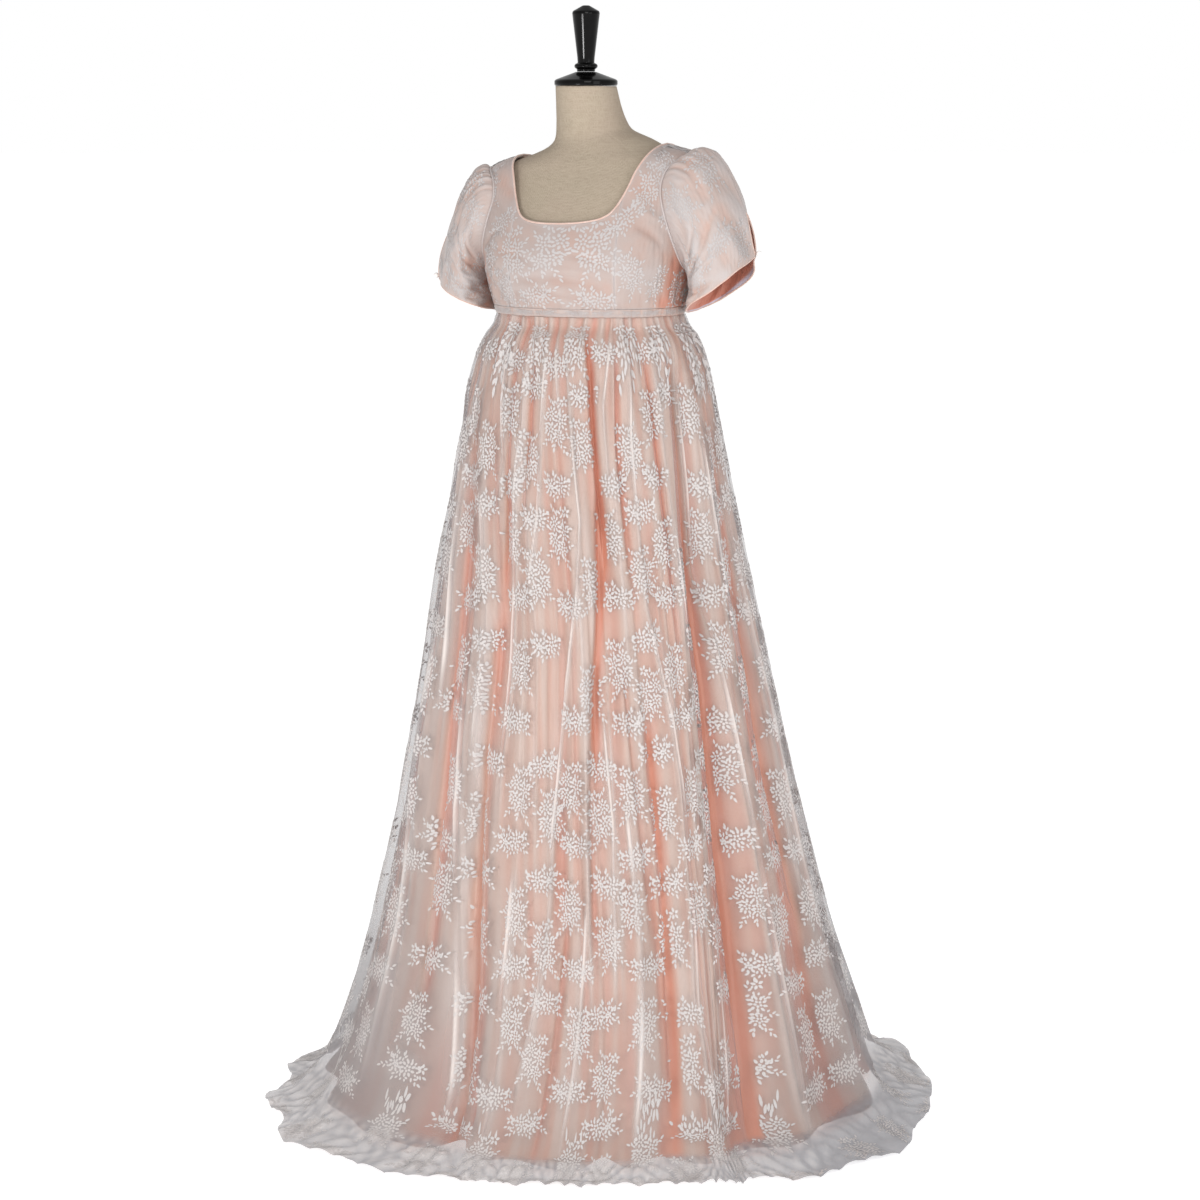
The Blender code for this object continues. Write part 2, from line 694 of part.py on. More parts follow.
def make_materials():
    made = {}
    for name, (colour, roughness, metallic) in MATERIALS.items():
        material = bpy.data.materials.new(name)
        material.use_nodes = True
        shader = material.node_tree.nodes["Principled BSDF"]
        shader.inputs["Base Color"].default_value = (*colour, 1.0)
        shader.inputs["Roughness"].default_value = roughness
        shader.inputs["Metallic"].default_value = metallic
        made[name] = material
    return made


MATERIAL_OBJECTS = make_materials()
make_form()
make_bodice()
make_waistband()
make_skirts()
make_sleeves()
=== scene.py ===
"""Looks of a regency gown: embroidered net over coral satin, on a linen dress form.

Metres, +Z up. The wearer faces -Y and the wearer's left is +X. An angle round the body is in degrees:
0 is the front, +90 the wearer's left, 180 the back. The tables of the body, the skirt and the sleeves
are those of the CAD part, so each cloth lies where its solid is. Two things differ on purpose: the sleeve
slits stand a little wider open, and the straps lie down on the form at their neck end.
"""
from math import cos, pi, radians, sin, sqrt

import bpy
import numpy as np
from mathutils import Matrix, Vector


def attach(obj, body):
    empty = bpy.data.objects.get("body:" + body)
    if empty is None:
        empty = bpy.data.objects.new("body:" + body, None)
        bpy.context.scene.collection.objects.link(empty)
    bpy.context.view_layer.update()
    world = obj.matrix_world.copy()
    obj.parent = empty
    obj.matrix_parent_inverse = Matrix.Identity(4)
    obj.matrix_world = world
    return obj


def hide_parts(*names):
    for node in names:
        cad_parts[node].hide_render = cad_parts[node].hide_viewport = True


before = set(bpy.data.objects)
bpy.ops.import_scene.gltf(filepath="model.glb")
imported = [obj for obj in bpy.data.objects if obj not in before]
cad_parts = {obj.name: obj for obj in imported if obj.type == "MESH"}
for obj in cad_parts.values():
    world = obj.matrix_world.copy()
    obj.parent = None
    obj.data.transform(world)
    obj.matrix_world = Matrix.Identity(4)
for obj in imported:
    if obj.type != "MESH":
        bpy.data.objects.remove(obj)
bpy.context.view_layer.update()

# ---------------------------------------------------------------- sizes shared with the CAD part
SEAM_GAP = 0.0003            # between cloths that meet edge to edge
BODICE_WALL = 0.0020
BODICE_EASE = 0.0040         # from the body to the inner face of the bodice
SHOULDER_EASE = 0.0034       # the further room over the shoulders
NECK_HUG = 0.0050            # how far each strap lies down again at its neck end
FORM_INSET = 0.0014          # the form lies this far inside the body that the bodice is cut for
BAND_WALL = 0.0024
BAND_EASE = 0.0045
SLEEVE_WALL = 0.0014
BAND_TOP_Z = 1.1700
BAND_BOTTOM_Z = 1.1585
SKIRT_JOIN_Z = 1.1250        # above here the skirt draws in to the band
FORM_BOTTOM_Z = 0.8600
NECK_TOP_Z = 1.4810
BACK_NECKLINE_Z = 1.328
PRINCESS_HALF_ANGLE = 31.0
ARMHOLE_CENTRE = (0.004, 1.295)
ARMHOLE_RADII = (0.060, 0.074)
BUTTON_RADIUS = 0.0042
BUTTON_RISE = 0.0045         # above the sleeve's hem
NECK_Y = -0.0150

# The body: height, half width, depth in front, depth behind, middle (y)
BODY = (
    (0.860, 0.158, 0.098, 0.113, 0.010),
    (0.950, 0.166, 0.104, 0.122, 0.010),
    (1.050, 0.127, 0.088, 0.092, 0.006),
    (1.110, 0.123, 0.094, 0.086, 0.004),
    (1.160, 0.131, 0.109, 0.092, 0.004),
    (1.200, 0.141, 0.123, 0.098, 0.004),
    (1.240, 0.149, 0.130, 0.104, 0.006),
    (1.290, 0.155, 0.116, 0.108, 0.012),
    (1.335, 0.158, 0.094, 0.104, 0.017),
    (1.360, 0.154, 0.080, 0.092, 0.020),
    (1.376, 0.141, 0.072, 0.080, 0.021),
    (1.387, 0.109, 0.066, 0.070, 0.020),
    (1.396, 0.088, 0.061, 0.065, 0.019),
    (1.405, 0.067, 0.056, 0.060, 0.017),
    (1.413, 0.056, 0.053, 0.055, 0.014),
    (1.430, 0.0505, 0.050, 0.050, 0.006),
    (1.450, 0.0475, 0.047, 0.047, -0.003),
    (1.481, 0.044, 0.044, 0.044, -0.015),
)
BODY_SQUARENESS = 2.2
# Rise across the shoulders at each height: the wearer's right one is a little low
TILT = (
    (1.240, 0.000),
    (1.290, 0.038),
    (1.340, 0.075),
    (1.385, 0.075),
    (1.407, 0.155),
    (1.430, 0.085),
    (1.455, 0.000),
    (1.466, 0.000),
    (1.481, 0.000),
)

# The front neckline from the centre (share 0) to the shoulder seam (share 1): share, half width, height
NECKLINE = (
    (0.00, 0.0000, 1.2868),
    (0.12, 0.0270, 1.2878),
    (0.25, 0.0510, 1.2915),
    (0.33, 0.0650, 1.2980),
    (0.40, 0.0735, 1.3085),
    (0.55, 0.0830, 1.3290),
    (0.72, 0.0905, 1.3510),
    (0.87, 0.0985, 1.3700),
    (1.00, 0.1090, 1.3870),
)
NECKLINE_AT_SEAM = 0.46

# The skirt without its folds: height, half width, half depth, middle (y)
SKIRT = (
    (1.1582, 0.1400, 0.1165, 0.003),
    (1.1400, 0.1460, 0.1235, 0.004),
    (1.0900, 0.1680, 0.1450, 0.004),
    (1.0030, 0.1910, 0.1730, 0.006),
    (0.8700, 0.2180, 0.2070, 0.014),
    (0.7000, 0.2530, 0.2460, 0.024),
    (0.4500, 0.3040, 0.3010, 0.045),
    (0.2500, 0.3520, 0.3510, 0.059),
    (0.1200, 0.3910, 0.4010, 0.062),
    (0.0400, 0.4210, 0.4430, 0.051),
    (0.0125, 0.4420, 0.4670, 0.040),
)
# The lace lies out on the floor to here: angle, distance from the middle of the stand
LACE_ON_FLOOR = (
    (-180, 0.535), (-140, 0.510), (-105, 0.470), (-75, 0.463), (-56, 0.476), (-40, 0.497),
    (-19, 0.495), (5, 0.472), (28, 0.464), (48, 0.500), (66, 0.533), (83, 0.522), (99, 0.505),
    (116, 0.512), (138, 0.516), (160, 0.530), (180, 0.535),
)
LACE_FLOOR_Z = 0.0018
SATIN_HEM_Z = 0.0090
# Room between the satin and the lace over it: height, distance
SATIN_INSET = (
    (0.009, 0.0200),
    (0.060, 0.0190),
    (0.200, 0.0160),
    (0.500, 0.0110),
    (0.900, 0.0068),
    (1.100, 0.0042),
    (1.158, 0.0032),
)
# How the grain of the cloth drifts round as it hangs: angle at the band, half way down, at the floor
DRIFT = (
    (-155, -155, -155),
    (-107, -101, -97),
    (-67, -55, -49),
    (-30, -10, -5),
    (18, 24, 26),
    (39, 41, 41),
    (66, 60, 51),
    (111, 105, 101),
    (155, 155, 155),
)
DRIFT_MIDDLE_Z = 0.65
# The deepest folds, as in the CAD part: angle at the band, half width in degrees, depth, start z, end z
FOLDS = (
    (-172, 8, 0.024, 1.10, -1.0),
    (-150, 8, 0.020, 1.12, -1.0),
    (-124, 9, 0.028, 1.08, -1.0),
    (-98, 8, 0.018, 1.12, -1.0),
    (-74, 7, 0.016, 1.05, -1.0),
    (-50, 6, 0.010, 1.12, 0.10),
    (-30, 5, 0.012, 1.13, 0.45),
    (-38, 6, 0.022, 0.55, -1.0),
    (-6, 6, 0.010, 1.10, 0.20),
    (18, 6, 0.014, 1.13, 0.30),
    (31, 5, 0.014, 0.60, -1.0),
    (66, 7, 0.030, 1.12, -1.0),
    (90, 7, 0.018, 1.08, -1.0),
    (116, 8, 0.026, 1.12, -1.0),
    (141, 8, 0.018, 1.06, -1.0),
    (165, 8, 0.022, 1.12, -1.0),
)
# Sleeve hems, from the slit at the outer arm round by the front: share of the way round, x, y, z
HEM_LEFT = (
    (0.000, 0.251, 0.000, 1.243),
    (0.125, 0.238, -0.046, 1.225),
    (0.250, 0.206, -0.060, 1.198),
    (0.375, 0.168, -0.048, 1.176),
    (0.500, 0.149, -0.004, 1.163),
    (0.625, 0.153, 0.040, 1.165),
    (0.750, 0.179, 0.060, 1.178),
    (0.875, 0.228, 0.044, 1.209),
    (1.000, 0.251, 0.000, 1.243),
)
HEM_RIGHT = (
    (0.000, -0.236, 0.000, 1.202),
    (0.125, -0.210, -0.045, 1.190),
    (0.250, -0.181, -0.058, 1.177),
    (0.375, -0.158, -0.044, 1.167),
    (0.500, -0.149, 0.000, 1.160),
    (0.625, -0.156, 0.042, 1.158),
    (0.750, -0.188, 0.060, 1.160),
    (0.875, -0.224, 0.043, 1.182),
    (1.000, -0.236, 0.000, 1.202),
)
# How the sleeve leaves the armhole: share of the half round, push out, push up, pull above the hem,
# pull outward of the hem
SLEEVE_RISE = (
    (0.00, 0.030, 0.050, 0.070, -0.006),
    (0.25, 0.040, 0.030, 0.058, 0.000),
    (0.50, 0.040, 0.002, 0.030, 0.006),
    (0.75, 0.022, -0.006, 0.018, 0.006),
    (1.00, 0.008, -0.012, 0.016, 0.004),
)
CAP_HEIGHT = {1: 1.0, -1: 0.55}       # the wearer's right sleeve, -1, is set in with a lower cap
# The slit at the outer arm, wider open than in the CAD part: share of the sleeve's length, half gap
SLIT = (
    (0.00, SEAM_GAP / 2),
    (0.70, SEAM_GAP / 2),
    (0.84, 0.0075),
    (0.94, 0.0060),
    (1.00, 0.0010),
)
# Turned profiles, radius and height above the neck
CAP_PROFILE = ((0.0440, 0.0003), (0.0450, 0.0020), (0.0450, 0.0075), (0.0425, 0.0095), (0.0140, 0.0200))
HANDLE_PROFILE = (
    (0.0130, 0.0203), (0.0130, 0.0235), (0.0160, 0.0255), (0.0168, 0.0282), (0.0155, 0.0308),
    (0.0118, 0.0325), (0.0124, 0.0400), (0.0196, 0.1020), (0.0188, 0.1050), (0.0045, 0.1130),
)

# ---------------------------------------------------------------- the creases of the skirt
# Creases, listed one by one: half width on the lower and on the upper side of its middle, in degrees, depth
# (below 0: a ridge), then (height, angle at the band of the thread that it follows) from its top down
CREASES = (
    (0.5, 0.8, -0.0050, (1.13, -32.0), (0.97, -28.0), (0.90, -33.0)),
    (0.5, 0.8, -0.0055, (1.13, -16.0), (1.00, -17.6), (0.91, -21.5), (0.73, -28.0), (0.50, -31.0)),
    (0.5, 0.7, -0.0045, (1.12, -5.0), (1.02, -6.3), (0.89, -10.8), (0.79, -17.5)),
    (0.5, 0.7, -0.0040, (1.15, -1.7), (1.02, 3.0)),
    (0.5, 0.7, -0.0060, (1.15, 4.0), (1.00, 8.5), (0.88, 10.0), (0.76, 4.5)),
    (0.6, 1.0, -0.0060, (0.78, 4.5), (0.66, -2.0), (0.46, -9.0), (0.36, -10.5), (0.23, -14.0), (0.10, -19.5)),
    (0.5, 0.8, -0.0050, (1.15, 29.0), (1.04, 23.5), (0.94, 24.0)),
    (0.5, 0.8, -0.0055, (1.15, 38.5), (1.00, 35.2), (0.76, 35.6), (0.60, 42.0), (0.49, 43.7)),
    (0.7, 1.1, -0.0060, (0.56, 43.0), (0.43, 43.5), (0.32, 43.0), (0.21, 40.6), (0.05, 47.0)),
    (0.6, 0.9, -0.0085, (1.13, 66.5), (1.02, 66.0), (0.92, 66.8), (0.82, 66.8), (0.69, 71.7), (0.53, 74.4),
     (0.41, 76.6), (0.25, 78.2), (0.05, 80.0)),
    (0.6, 0.9, -0.0060, (0.72, -44.5), (0.46, -45.0), (0.25, -40.5), (0.08, -37.0)),
    (0.6, 0.9, -0.0045, (1.10, -52.0), (0.80, -56.0), (0.55, -55.0)),
    (0.6, 1.0, -0.0050, (0.70, -62.0), (0.40, -60.0), (0.10, -57.0)),
    (0.6, 1.0, -0.0050, (0.50, 22.0), (0.30, 24.0), (0.06, 21.0)),
    (0.6, 0.9, -0.0045, (0.36, 5.0), (0.20, 2.0), (0.05, -2.0)),
    (0.6, 1.0, -0.0055, (0.95, 92.0), (0.60, 97.0), (0.30, 98.0)),
    (0.5, 0.8, -0.0045, (1.10, 50.0), (0.92, 53.5), (0.74, 55.0)),
    (0.5, 0.8, -0.0040, (1.00, 76.0), (0.84, 78.0), (0.66, 81.5)),
    (0.5, 0.8, -0.0040, (0.62, 15.0), (0.46, 17.0), (0.26, 15.0)),
    (0.5, 0.9, -0.0045, (0.44, 56.0), (0.24, 57.0), (0.06, 58.5)),
    (0.5, 0.8, -0.0040, (0.92, -40.0), (0.76, -38.5), (0.58, -39.5)),
    (0.6, 0.9, -0.0045, (0.40, -24.0), (0.22, -26.0), (0.06, -25.5)),
    (0.7, 2.2, 0.0110, (1.15, 14.0), (1.08, 16.7), (0.96, 18.5), (0.86, 19.8)),
    (1.0, 4.0, 0.0110, (0.93, 19.0), (0.80, 16.5), (0.64, 11.0), (0.50, 8.0), (0.30, 7.0)),
    (0.6, 2.0, 0.0075, (1.13, -27.0), (1.02, -24.6), (0.94, -27.0), (0.80, -32.0)),
    (0.6, 1.8, 0.0065, (1.12, -12.5), (0.99, -14.4), (0.90, -18.5)),
    (0.8, 4.2, 0.0150, (1.10, 60.5), (1.00, 61.0), (0.82, 60.7), (0.71, 62.5), (0.54, 62.0), (0.41, 63.0),
     (0.26, 64.9), (0.05, 68.0)),
    (0.8, 2.6, 0.0130, (0.74, -36.0), (0.47, -37.8), (0.28, -37.5), (0.04, -33.0)),
    (0.6, 2.2, 0.0085, (0.96, 83.0), (0.82, 80.6), (0.70, 85.0), (0.58, 87.0), (0.47, 87.5), (0.30, 92.0)),
    (0.6, 2.0, 0.0065, (1.12, 30.5), (0.98, 29.0), (0.84, 30.0)),
    (0.6, 2.0, 0.0065, (1.12, 46.5), (0.92, 48.5), (0.70, 51.0)),
    (0.8, 2.8, 0.0085, (0.62, 31.5), (0.40, 33.0), (0.10, 31.5)),
    (0.8, 2.6, 0.0075, (0.86, -50.5), (0.55, -52.0), (0.20, -49.5)),
    (0.7, 2.4, 0.0065, (0.34, -3.0), (0.18, -7.5), (0.04, -10.5)),
    (0.7, 2.4, 0.0075, (1.10, -65.5), (0.75, -69.5), (0.30, -68.5)),
    (0.7, 2.2, 0.0060, (0.70, 24.5), (0.50, 26.5), (0.34, 28.0)),
    (0.7, 2.4, 0.0070, (0.42, 50.0), (0.22, 51.0), (0.05, 53.0)),
)
RIDGE_RISE = 0.65                    # how much of its depth a ridge stands out by
HAZE_SPREAD = 5.0                    # the net looks closer, with a haze of painted highlight, this many times as far round a ridge line
VISIBLE_ANGLES = (-70.0, 100.0)      # the listed creases lead here
GATHERS = 62                         # small tucks sewn into the band
GATHER_HEIGHT = 0.0042
SIDE_FOLDS = 64                      # middling folds round the whole skirt
FOLD_TOP_Z = 1.15                    # folds that lean or spread do so from this height down
SIDE_SEAM_DEPTH = 0.0007
UNDER_BAND = 0.0022                  # the skirt's top edge turns in this far
# Folds of the satin's hem: angle at the band, half width in degrees, lift, pull inward
HEM_FOLDS = (
    (-160, 7, 0.012, 0.010), (-134, 5, 0.008, 0.016), (-108, 6, 0.012, 0.020), (-80, 6, 0.010, 0.024),
    (-60, 6, 0.005, 0.014), (-34, 4, 0.010, 0.040), (-17, 6, 0.004, 0.022), (13, 5, 0.006, 0.028),
    (1, 8, 0.0, -0.006), (20, 45, 0.0, -0.005), (27, 4, 0.006, 0.014), (42, 8, 0.0, -0.006),
    (50, 4, 0.006, 0.012), (84, 5, 0.008, 0.008), (78, 20, 0.0, -0.012), (112, 5, 0.010, 0.020),
    (139, 6, 0.014, 0.020),
)

# Creases of the bodice: start angle and height, end angle and height, half width, depth
BODICE_CREASES = (
    (-30, 1.208, 24, 1.196, 0.0060, 0.0016),
    (-20, 1.222, 30, 1.214, 0.0050, -0.0012),
    (-34, 1.190, 8, 1.184, 0.0040, 0.0012),
    (4, 1.246, 30, 1.226, 0.0050, 0.0012),
    (-40, 1.250, -12, 1.232, 0.0050, 0.0012),
    (48, 1.176, 44, 1.250, 0.0030, 0.0014),
    (56, 1.176, 53, 1.262, 0.0030, 0.0018),
    (64, 1.178, 60, 1.250, 0.0028, 0.0018),
    (72, 1.176, 69, 1.244, 0.0030, 0.0022),
    (79, 1.176, 77, 1.235, 0.0028, 0.0022),
    (-46, 1.178, -44, 1.240, 0.0030, 0.0014),
    (-58, 1.176, -55, 1.250, 0.0030, 0.0018),
    (-70, 1.176, -68, 1.240, 0.0030, 0.0018),
    (38, 1.282, 58, 1.256, 0.0045, 0.0020),
    (40, 1.300, 62, 1.275, 0.0040, -0.0012),
    (-38, 1.282, -58, 1.256, 0.0045, 0.0018),
    (120, 1.178, 116, 1.250, 0.0035, 0.0018),
    (148, 1.176, 150, 1.240, 0.0040, 0.0014),
    (-122, 1.178, -117, 1.250, 0.0035, 0.0018),
    (-150, 1.176, -148, 1.246, 0.0040, 0.0014),
    (160, 1.300, 118, 1.322, 0.0060, 0.0014),
    (-158, 1.296, -120, 1.326, 0.0060, 0.0014),
)
BODICE_CREASING = 1.5                # how many times as deep they are made
# Creases of a sleeve: share round and along at the start and at the end, half width, depth
SLEEVE_CREASES = {
    "left": (
        (0.36, 0.46, 0.12, 0.58, 0.0050, 0.0034),
        (0.34, 0.60, 0.08, 0.72, 0.0040, -0.0022),
        (0.40, 0.30, 0.20, 0.42, 0.0045, 0.0022),
        (0.46, 0.34, 0.38, 0.80, 0.0050, 0.0034),
        (0.42, 0.72, 0.24, 0.90, 0.0055, 0.0026),
        (0.10, 0.20, 0.14, 0.50, 0.0070, 0.0030),
        (0.30, 0.12, 0.34, 0.44, 0.0045, 0.0020),
        (0.64, 0.40, 0.88, 0.56, 0.0055, 0.0032),
        (0.60, 0.62, 0.84, 0.78, 0.0050, 0.0026),
        (0.90, 0.22, 0.86, 0.52, 0.0070, 0.0030),
        (0.74, 0.16, 0.70, 0.60, 0.0050, 0.0026),
        (0.55, 0.36, 0.60, 0.84, 0.0050, 0.0030),
    ),
    "right": (
        (0.40, 0.30, 0.18, 0.52, 0.0050, 0.0032),
        (0.42, 0.46, 0.16, 0.68, 0.0042, -0.0024),
        (0.44, 0.58, 0.20, 0.84, 0.0050, 0.0034),
        (0.38, 0.18, 0.24, 0.34, 0.0042, 0.0024),
        (0.10, 0.20, 0.16, 0.56, 0.0060, 0.0030),
        (0.46, 0.70, 0.30, 0.92, 0.0042, 0.0026),
        (0.62, 0.36, 0.86, 0.56, 0.0055, 0.0032),
        (0.60, 0.60, 0.82, 0.80, 0.0050, 0.0026),
        (0.90, 0.22, 0.85, 0.54, 0.0070, 0.0030),
        (0.72, 0.16, 0.68, 0.56, 0.0050, 0.0026),
    ),
}

# Uneven fields on the bodice, the band and the sleeves: height, length across, length down, seed
BODICE_CRINKLE = (0.00035, 0.006, 0.060, 11)
BODICE_TUCKS = (0.0007, 0.009, 0.300, 12)
BODICE_SOFTNESS = (0.0006, 0.060, 0.045, 13)
BAND_PUCKERS = ((0.0003, 0.007, 0.050, 21), (0.0004, 0.016, 0.040, 22))
SLEEVE_PLEATS = (0.0019, 0.0105, 0.40)
SLEEVE_SOFTNESS = (0.0016, 0.060, 0.070)
SLEEVE_CRINKLE = (0.0003, 0.008, 0.030)
SLEEVE_SEEDS = {"left": (81, 82, 83), "right": (91, 92, 93)}
# Uneven fields round the skirt: height, waves round it, length down, seed
SKIRT_RIPPLES = ((0.0009, 34, 0.50, 31), (0.0014, 15, 0.35, 32))
RIDGE_FADING = (0.35, 9, 0.30, 47)
FLOOR_EDGE = ((0.0075, 15, 1.0, 41), (0.0015, 36, 1.0, 42))
HEM_LIFT = (0.5, 14, 1.0, 51)
# The same over the lace on the floor, each with the way out, taken as this long, first
FLOOR_PUFFS = (0.12, 1, 15, 0.15, 43)
FLOOR_FOLDS = (0.10, 1, 50, 0.06, 44)
FLOOR_RUFFLE = (0.02, 1, 30, 0.20, 45)
FLOOR_SHINE = (0.10, 1, 110, 0.03, 46)
# Random bands of tone round the satin; their pale ones are painted sheen
SATIN_TONE_AND_SHEEN_BANDS = ((1.0, 1, 24, 1.4, 61), (0.8, 1, 60, 0.9, 62))     # each with its weight first

# What a value is on plain cloth, and what each thing adds to it; the colour values among them paint light and
# shade
BODICE_CORAL_AND_PAINTED_LIGHT = {"plain": 0.30, "seam": -0.34, "sleeve": 0.75, "fold": 60}
BODICE_SHADE = {"plain": 0.12, "seam": -0.12, "sleeve": 0.08, "fold": 45}
BAND_CORAL_AND_PAINTED_SHADE = {"plain": 0.24, "pucker": 0.20}
SLEEVE_CORAL_AND_PAINTED_LIGHT = {"plain": 0.18, "fold": 0.40, "under": 0.25}
SATIN_TONE_AND_PAINTED_LIGHT = {"plain": 0.44, "bands": 0.12, "fold": 1.0, "ridge": -0.22, "deepest": 0.17, "rosy": 0.22}
NET_CLOSENESS = {"plain": 0.20, "ridge": 0.38, "haze": 0.10, "trough": -0.14, "full": 0.15, "low": 0.05,
                 "full_low": 0.22}
NET_TONE_AND_PAINTED_HIGHLIGHT = {"plain": 0.18, "ridge": 0.62, "haze": 0.25}
FLOOR_CLOSENESS = {"plain": 0.84, "fold": -0.14}
FLOOR_LACE_TONE_AND_PAINTED_LIGHT = {"plain": 0.14, "fold": 0.22, "shine": 0.12, "side": -0.60}
WORKED_CLOSENESS = 0.11
WORKED_BRIGHTNESS = 0.24
ROSY_SIDE = (80, 26)         # the satin is rosier low down at this angle; half width


# ---------------------------------------------------------------- reading the tables
def smooth(rows, at):
    """The columns of a table after its first, read at values of the first, on a smooth curve."""
    table = np.array(sorted(rows), float)
    keys, values = table[:, 0], table[:, 1:]
    count = len(keys)
    before = np.maximum(np.arange(count) - 1, 0)
    after = np.minimum(np.arange(count) + 1, count - 1)
    slopes = (values[after] - values[before]) / (keys[after] - keys[before])[:, None]
    at = np.clip(np.asarray(at, float), keys[0], keys[-1])
    low = np.clip(np.searchsorted(keys, at, side="right") - 1, 0, count - 2)
    span = (keys[low + 1] - keys[low])[..., None]
    share = (at - keys[low])[..., None] / span
    return (values[low] * (1 + 2 * share) * (1 - share) ** 2
            + slopes[low] * span * share * (1 - share) ** 2
            + values[low + 1] * share ** 2 * (3 - 2 * share)
            + slopes[low + 1] * span * share ** 2 * (share - 1))


def ease(value, low, high):
    """0 below low, 1 above high, with a smooth step between."""
    share = np.clip((value - low) / (high - low), 0, 1)
    return share * share * (3 - 2 * share)


def wrapped(angle):
    """The angle brought to between -180 and 180 degrees."""
    return angle - 360 * np.floor((angle + 180) / 360)


def signed_power(value, power):
    return np.abs(value) ** power * np.where(value >= 0, 1, -1)


def unit(vectors):
    return vectors / np.maximum(np.linalg.norm(vectors, axis=-1, keepdims=True), 1e-12)


def uneven(x, y, height, length_x, length_y, seed, count=7):
    """A smooth uneven field of about -height to height, whose bumps have roughly these lengths."""
    draw = np.random.default_rng(seed)
    total = 0
    for _ in range(count):
        along_x = 2 * pi / length_x * draw.uniform(0.6, 1.5) * draw.choice((-1, 1))
        along_y = 2 * pi / length_y * draw.uniform(0.6, 1.5)
        total = total + np.sin(along_x * x + along_y * y + draw.uniform(0, 2 * pi))
    return height * (total / sqrt(count))


def uneven_round(angle, z, height, waves_round, length_z, seed, count=7):
    """The same kind of field on the skirt, the same at -180 and 180 degrees."""
    draw = np.random.default_rng(seed)
    total = 0
    for _ in range(count):
        round_it = round(waves_round * draw.uniform(0.6, 1.5)) * draw.choice((-1, 1))
        down_it = 2 * pi / length_z * draw.uniform(0.5, 1.4)
        total = total + np.sin(np.radians(angle) * round_it + down_it * z + draw.uniform(0, 2 * pi))
    return height * (total / sqrt(count))


def weighed(weights, **fields):
    """The plain value of some weights, plus each field times its weight."""
    total = weights["plain"]
    for key, field in fields.items():
        total = total + weights[key] * field
    return total


def hump(away, half_width):
    """A bell of height 1, from the distance to its middle."""
    return np.exp(-(away / half_width) ** 2)


CREASE_BOW = 0.06            # how far a crease bows out, as a share of its length


def creased(x, y, rows):
    """How far straight creases carry a point in: start x and y, end x and y, half width, depth."""
    total = 0
    for x0, y0, x1, y1, half_width, depth in rows:
        length_squared = (x1 - x0) ** 2 + (y1 - y0) ** 2
        share = ((x - x0) * (x1 - x0) + (y - y0) * (y1 - y0)) / length_squared
        held = np.clip(share, 0, 1)
        bow = CREASE_BOW * sqrt(length_squared) * np.sin(pi * held)
        away = ((x - x0 - held * (x1 - x0)) ** 2 + (y - y0 - held * (y1 - y0) - bow) ** 2) / half_width ** 2
        fade = np.clip(4 * held * (1 - held), 0, 1) ** 0.5
        total = total + depth * np.exp(-away) * fade
    return total


# ---------------------------------------------------------------- meshes
def made_object(name, points, faces, material, uvs=None, values=None):
    """A smooth-shaded piece from arrays; uvs is one pair a point, values holds named point attributes."""
    mesh = bpy.data.meshes.new(name)
    faces = np.asarray(faces)
    sides = faces.shape[1]
    mesh.vertices.add(len(points))
    mesh.vertices.foreach_set("co", np.asarray(points, np.float32).ravel())
    mesh.loops.add(faces.size)
    mesh.loops.foreach_set("vertex_index", faces.astype(np.int32).ravel())
    mesh.polygons.add(len(faces))
    mesh.polygons.foreach_set("loop_start", np.arange(0, faces.size, sides, dtype=np.int32))
    mesh.update(calc_edges=True)
    mesh.shade_smooth()
    if uvs is not None:
        layer = mesh.uv_layers.new(name="cloth")
        layer.data.foreach_set("uv", np.asarray(uvs, np.float32)[faces.ravel()].ravel())
    for key, value in (values or {}).items():
        attribute = mesh.attributes.new(key, "FLOAT", "POINT")
        attribute.data.foreach_set("value", np.asarray(value, np.float32).ravel())
    for each in material if isinstance(material, (list, tuple)) else [material]:
        mesh.materials.append(each)
    thing = bpy.data.objects.new(name, mesh)
    bpy.context.scene.collection.objects.link(thing)
    return thing


def worn(piece, node=None):
    """Fixes a piece to the one body; it takes the place of the part's node, where there is one."""
    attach(piece, "root")
    if node:
        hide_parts(node)
    return piece


def grid_faces(rows, columns):
    """Faces of a grid, with the first row's points first."""
    corner = (np.arange(rows - 1)[:, None] * columns + np.arange(columns - 1)[None, :]).ravel()
    return np.stack([corner, corner + 1, corner + columns + 1, corner + columns], 1)


def ring_faces(rings, sides, closed=False):
    """Faces between rings of points, and from the last ring back to the first if closed."""
    here = np.arange(rings if closed else rings - 1)[:, None]
    there = (here + 1) % rings
    k = np.arange(sides)[None, :]
    after = (k + 1) % sides
    corners = here * sides + k, here * sides + after, there * sides + after, there * sides + k
    return np.stack(corners, -1).reshape(-1, 4)


def metric(grid):
    """Metres across and down at each point of a grid, as a pair for each point."""
    across = np.linalg.norm(np.diff(grid, axis=1), axis=-1)
    down = np.linalg.norm(np.diff(grid, axis=0), axis=-1)
    across = np.concatenate([np.zeros((len(grid), 1)), np.cumsum(across, 1)], 1)
    down = np.concatenate([np.zeros((1, grid.shape[1])), np.cumsum(down, 0)], 0)
    return np.stack([across, down], -1)


def rim_of(grid):
    """The outermost points of a grid, in order round it."""
    return np.concatenate([grid[0, :-1], grid[:-1, -1], grid[-1, :0:-1], grid[:0:-1, 0]])


def facing_out(points, faces, outward):
    """The faces, turned over if they look away from outward, one vector a point."""
    a, b, c = (points[faces[:, k]] for k in (0, 1, 2))
    if np.sum(np.cross(b - a, c - b) * outward[faces[:, 0]]) < 0:
        return faces[:, ::-1]
    return faces


def open_sheet(name, grid, outward, material, values=None):
    """A single layer of cloth from a grid of points."""
    points = grid.reshape(-1, 3)
    faces = facing_out(points, grid_faces(*grid.shape[:2]), outward.reshape(-1, 3))
    return made_object(name, points, faces, material, metric(grid).reshape(-1, 2), values)


